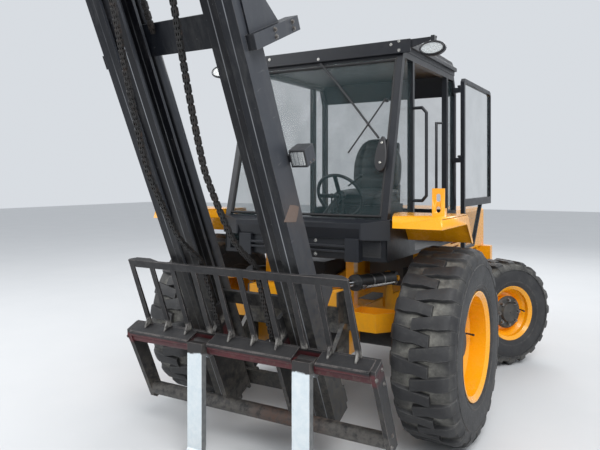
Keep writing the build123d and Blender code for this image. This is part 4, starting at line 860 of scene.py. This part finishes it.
# Mast: bolts at the braces, lamp lens, worn patch
BRACES = ((-0.230, 0.120), (0.430, 0.090), (2.035, 0.175), (2.850, 0.120))
mast_bolts = Build(MAST)
for s, high in BRACES:
    for x in (-0.400, 0.400):
        for up in (0.25, 0.75):
            mast_bolts.bolt((x, -0.1005, s + up * high), (0, 1, 0), 0.010, 0.009)
for n, s in ((0.060, 2.040), (0.060, 2.075), (-0.120, 2.040), (-0.120, 2.075)):
    for x in (0.503, -0.503):
        mast_bolts.bolt((x, -n, s), (math.copysign(1, x), 0, 0), 0.010, 0.009)
for n, s in ((0.075, 1.388), (0.110, 1.388)):
    mast_bolts.bolt((0.568, -n, s), (1, 0, 0), 0.005, 0.004)
mast_bolts.done("mast_bolts", BOLT, "mast")
lens = Build(MAST)
lens.box((0.481, -0.1445, 1.384), (0.560, -0.1395, 1.461))
lens.done("mast_lamp_lens", MATS["lamp_clear"], "mast", "glass", bevel=0.002)
bezel = Build(MAST)
for low, high in (((0.474, 1.376), (0.567, 1.384)), ((0.474, 1.461), (0.567, 1.469)),
                  ((0.474, 1.384), (0.481, 1.461)), ((0.560, 1.384), (0.567, 1.461))):
    bezel.box((low[0], -0.147, low[1]), (high[0], -0.139, high[1]))
for x in (0.4965, 0.5205, 0.5445):
    bezel.rod((x, -0.1415, 1.388), (x, -0.1415, 1.457), 0.0025, 8)
bezel.done("mast_lamp_bezel", MATS["plastic_black"], "mast", "plastic_black", bevel=0.001)
reflector = Build(MAST)
reflector.box((0.482, -0.1408, 1.385), (0.559, -0.1392, 1.460))
reflector.done("mast_lamp_reflector", BRIGHT, "mast")
patch = Build()
patch.prism(profile((-1.250, 1.469), (-1.215, 1.520), (-1.190, 1.555), (-1.140, 1.552), (-1.097, 1.541),
                    (-1.112, 1.500), (-1.128, 1.462), (-1.190, 1.464)), 0.4525, 0.4542)
patch.done("worn_patch", BROWN, "mast")

# Tilt cylinders: steel line beside each barrel, ports and clamps
TILT_REAR, TILT_FRONT = at(0.412, 0.380, 0.950), MAST @ Vector((0.412, -0.026, 0.5527))
for side, sign in (("left", 1), ("right", -1)):
    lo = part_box("tilt_barrel_" + side)[0]
    along = (TILT_FRONT - TILT_REAR).normalized()
    start = TILT_REAR + along * 0.10
    reach = (lo.y - start.y) / along.y - 0.035
    out = Vector((0.054 * sign, 0, -0.024))
    a, c = start.copy(), start + along * reach
    a.x, c.x = a.x * sign, c.x * sign
    line = Build()
    line.tube([a + out * 0.8, a + out, a + out + along * 0.04,
               c + out - along * 0.04, c + out, c + out * 0.8], 0.0075, 10, 4)
    line.done("tilt_line_" + side, BRIGHT, "tilt_barrel_" + side, "chrome")
    ports = Build()
    for p in (a, c):
        ports.rod(p + out * 0.72, p + out * 1.12, 0.013, 12)
        ports.rod(p + out * 0.95, p + out * 1.18, 0.016, 6)
    ports.done("tilt_ports_" + side, BOLT, "tilt_barrel_" + side)
    clamps = Build(Matrix.Translation(a) @ (c - a).to_track_quat("Y", "Z").to_matrix().to_4x4())
    for f in (0.33, 0.66):
        place = reach * f
        clamps.ring([(place - 0.011, 0.0470), (place - 0.011, 0.0505), (place + 0.011, 0.0505),
                     (place + 0.011, 0.0470)], (0, 0, 0), "y", 32)
    clamps.done("tilt_clamps_" + side, BOLT, "tilt_barrel_" + side)

# Cab: wiper, motor cover, lamp lenses, bolts, windscreen seal, levers, reflector
SCREEN_SLOPE = 0.2555


def screen_y(z, y=-0.300):
    """The windscreen's outer plane at a height; y is its place at the lower edge."""
    return y + (z - 1.43) * SCREEN_SLOPE


wiper = Build()
wiper.tube([at(0.010, -0.034, 2.532), at(0.234, -0.095, 2.294), at(0.451, -0.157, 2.048),
            at(0.527, -0.181, 1.964)], 0.008, 8, 4)
wiper.tube([at(0.547, -0.122, 2.222), at(0.430, -0.168, 2.040), at(0.318, -0.212, 1.868)], 0.006, 8, 4)
wiper.rod(at(0.547, -0.122, 2.222), at(0.547, -0.080, 2.222), 0.012, 12)
wiper.done("wiper", MATS["plastic_black"], "chassis", "plastic_black")
screen = Matrix.Translation(at(0.560, screen_y(1.850), 1.850)) @ Matrix.Rotation(-math.atan(SCREEN_SLOPE), 4, "X")
motor = Build(screen)
pear = []
for i in range(28):
    t = 2 * math.pi * i / 28
    pear.append(((0.040 - 0.012 * math.sin(t)) * math.cos(t), 0.122 * math.sin(t)))
motor.prism(pear, -0.034, -0.001, "y")
motor.done("wiper_motor_cover", MATS["plastic_black"], "chassis", "plastic_black", bevel=0.008)
screws = Build(screen)
for z in (0.075, -0.060):
    screws.bolt((0.0, -0.034, z), (0, -1, 0), 0.0065, 0.005)
screws.done("wiper_screws", BRIGHT, "chassis")
lamps, lens, chrome = Build(), Build(), Build()
for sign in (1, -1):
    c = at(0.862 * sign, -0.092, 2.541)
    turns = [2 * math.pi * i / 32 for i in range(32)]
    oval = [(0.074 * math.cos(t), 0.037 * math.sin(t)) for t in turns]
    lens.prism([(c.x + x, c.z + z) for x, z in oval], c.y - 0.008, c.y - 0.003, "y")
    chrome.prism([(c.x + x, c.z + z) for x, z in oval], c.y - 0.0025, c.y + 0.001, "y")
    rim = [c + Vector((x * 1.04, -0.004, z * 1.06)) for x, z in oval + oval[:1]]
    lamps.tube(rim, 0.006, 8, 1)
    lamps.rod(c + Vector((0, 0.03, 0.048)), c + Vector((0, 0.03, 0.060)), 0.010, 12)
lamps.done("roof_lamp_bezels", MATS["plastic_black"], "chassis", "plastic_black")
lens.done("roof_lamp_lenses", MATS["lamp_clear"], "chassis", "glass")
chrome.done("roof_lamp_reflectors", BRIGHT, "chassis")
fascia = Build()
for x, z in ((-0.423, 2.599), (0.562, 2.604), (0.619, 2.622), (-0.619, 2.560), (0.0, 2.560), (0.619, 2.560)):
    fascia.bolt(at(x, -0.050, z), (0, -1, 0), 0.008, 0.006)
for x in (-0.420, -0.140, 0.140, 0.420):
    fascia.bolt(at(x, -0.345, 1.280), (0, -1, 0), 0.009, 0.007)
    fascia.bolt(at(x, -0.345, 1.190), (0, -1, 0), 0.009, 0.007)
fascia.done("cab_bolts", BRIGHT, "chassis")
seal = Build()
corners = [(-0.590, 1.450), (0.590, 1.450), (0.590, 2.500), (-0.590, 2.500)]
for (xa, za), (xb, zb) in zip(corners, corners[1:] + corners[:1]):
    seal.rod(at(xa, screen_y(za, -0.303), za), at(xb, screen_y(zb, -0.303), zb), 0.009, 8)
seal.done("windscreen_seal", RUBBER, "chassis", "plastic_black")
lever = Build()
lever.rod(at(0.110, 0.225, 1.640), at(0.240, 0.165, 1.715), 0.006, 10)
lever.ball(at(0.240, 0.165, 1.715), 0.014)
for x in (0.120, 0.165, 0.210):
    lever.rod(at(x, -0.080, 1.400), at(x, -0.070, 1.560), 0.006, 10)
    lever.ball(at(x, -0.070, 1.572), 0.018)
lever.done("levers", MATS["plastic_black"], "chassis", "plastic_black")
reflector = Build()
spread = Vector((0.012, 0.004, 0.022))
reflector.box(at(*REFLECTOR) - spread, at(*REFLECTOR) + spread)
reflector.done("cowl_reflector", RED, "chassis", bevel=0.002)

# Rear: tail lamps and a latch on the bonnet
tail = Build()
for sign in (1, -1):
    tail.box(at(0.440 * sign - 0.030, 2.778, 1.200), at(0.440 * sign + 0.030, 2.796, 1.320))
tail.done("tail_lamps", RED, "hood", bevel=0.004)
latch = Build()
latch.box(at(-0.045, 2.778, 1.010), at(0.045, 2.790, 1.050))
latch.rod(at(0, 2.790, 1.030), at(0, 2.800, 1.030), 0.012, 14)
latch.done("hood_latch", MATS["plastic_black"], "hood", "plastic_black", bevel=0.002)

# Floor and light
bpy.ops.mesh.primitive_plane_add(size=60, location=(0, 0, 0))
floor = bpy.context.object
floor.name = "floor"
fm = Mat("floor_grey")
fm.colour(fm.mix(fm.noise(1.2, 6.0, 0.6), (0.60, 0.61, 0.62), (0.66, 0.665, 0.67)))
socket(fm.b, "Roughness", 0.9)
floor.data.materials.append(fm.m)

world = bpy.data.worlds.new("studio")
bpy.context.scene.world = world
world.use_nodes = True
wt = world.node_tree
wt.nodes["Background"].inputs[0].default_value = (0.86, 0.90, 0.95, 1)
wt.nodes["Background"].inputs[1].default_value = 0.8


def lamp(name, at_point, look, size, energy):
    light = bpy.data.lights.new(name, "AREA")
    light.size = size
    light.energy = energy
    o = bpy.data.objects.new(name, light)
    bpy.context.scene.collection.objects.link(o)
    o.location = at_point
    o.rotation_euler = (Vector(look) - Vector(at_point)).to_track_quat("-Z", "Y").to_euler()


lamp("key", (5.0, -5.0, 8.0), (0, 0, 1), 6.0, 700)
lamp("fill", (-6.0, -4.0, 6.0), (0, 0, 1), 6.0, 300)
lamp("back", (0.0, 7.0, 7.0), (0, 0, 1), 6.0, 300)

camera = bpy.data.cameras.new("camera")
camera.lens = CAMERA_LENS
camera.sensor_width = 36.0
camera.sensor_fit = "HORIZONTAL"
camera.shift_y = CAMERA_SHIFT_Y
cam = bpy.data.objects.new("camera", camera)
bpy.context.scene.collection.objects.link(cam)
cam.location = CAMERA_AT
cam.rotation_euler = (math.radians(90), 0, math.radians(CAMERA_AZIMUTH))
bpy.context.scene.camera = cam
bpy.context.scene.view_settings.view_transform = "Standard"
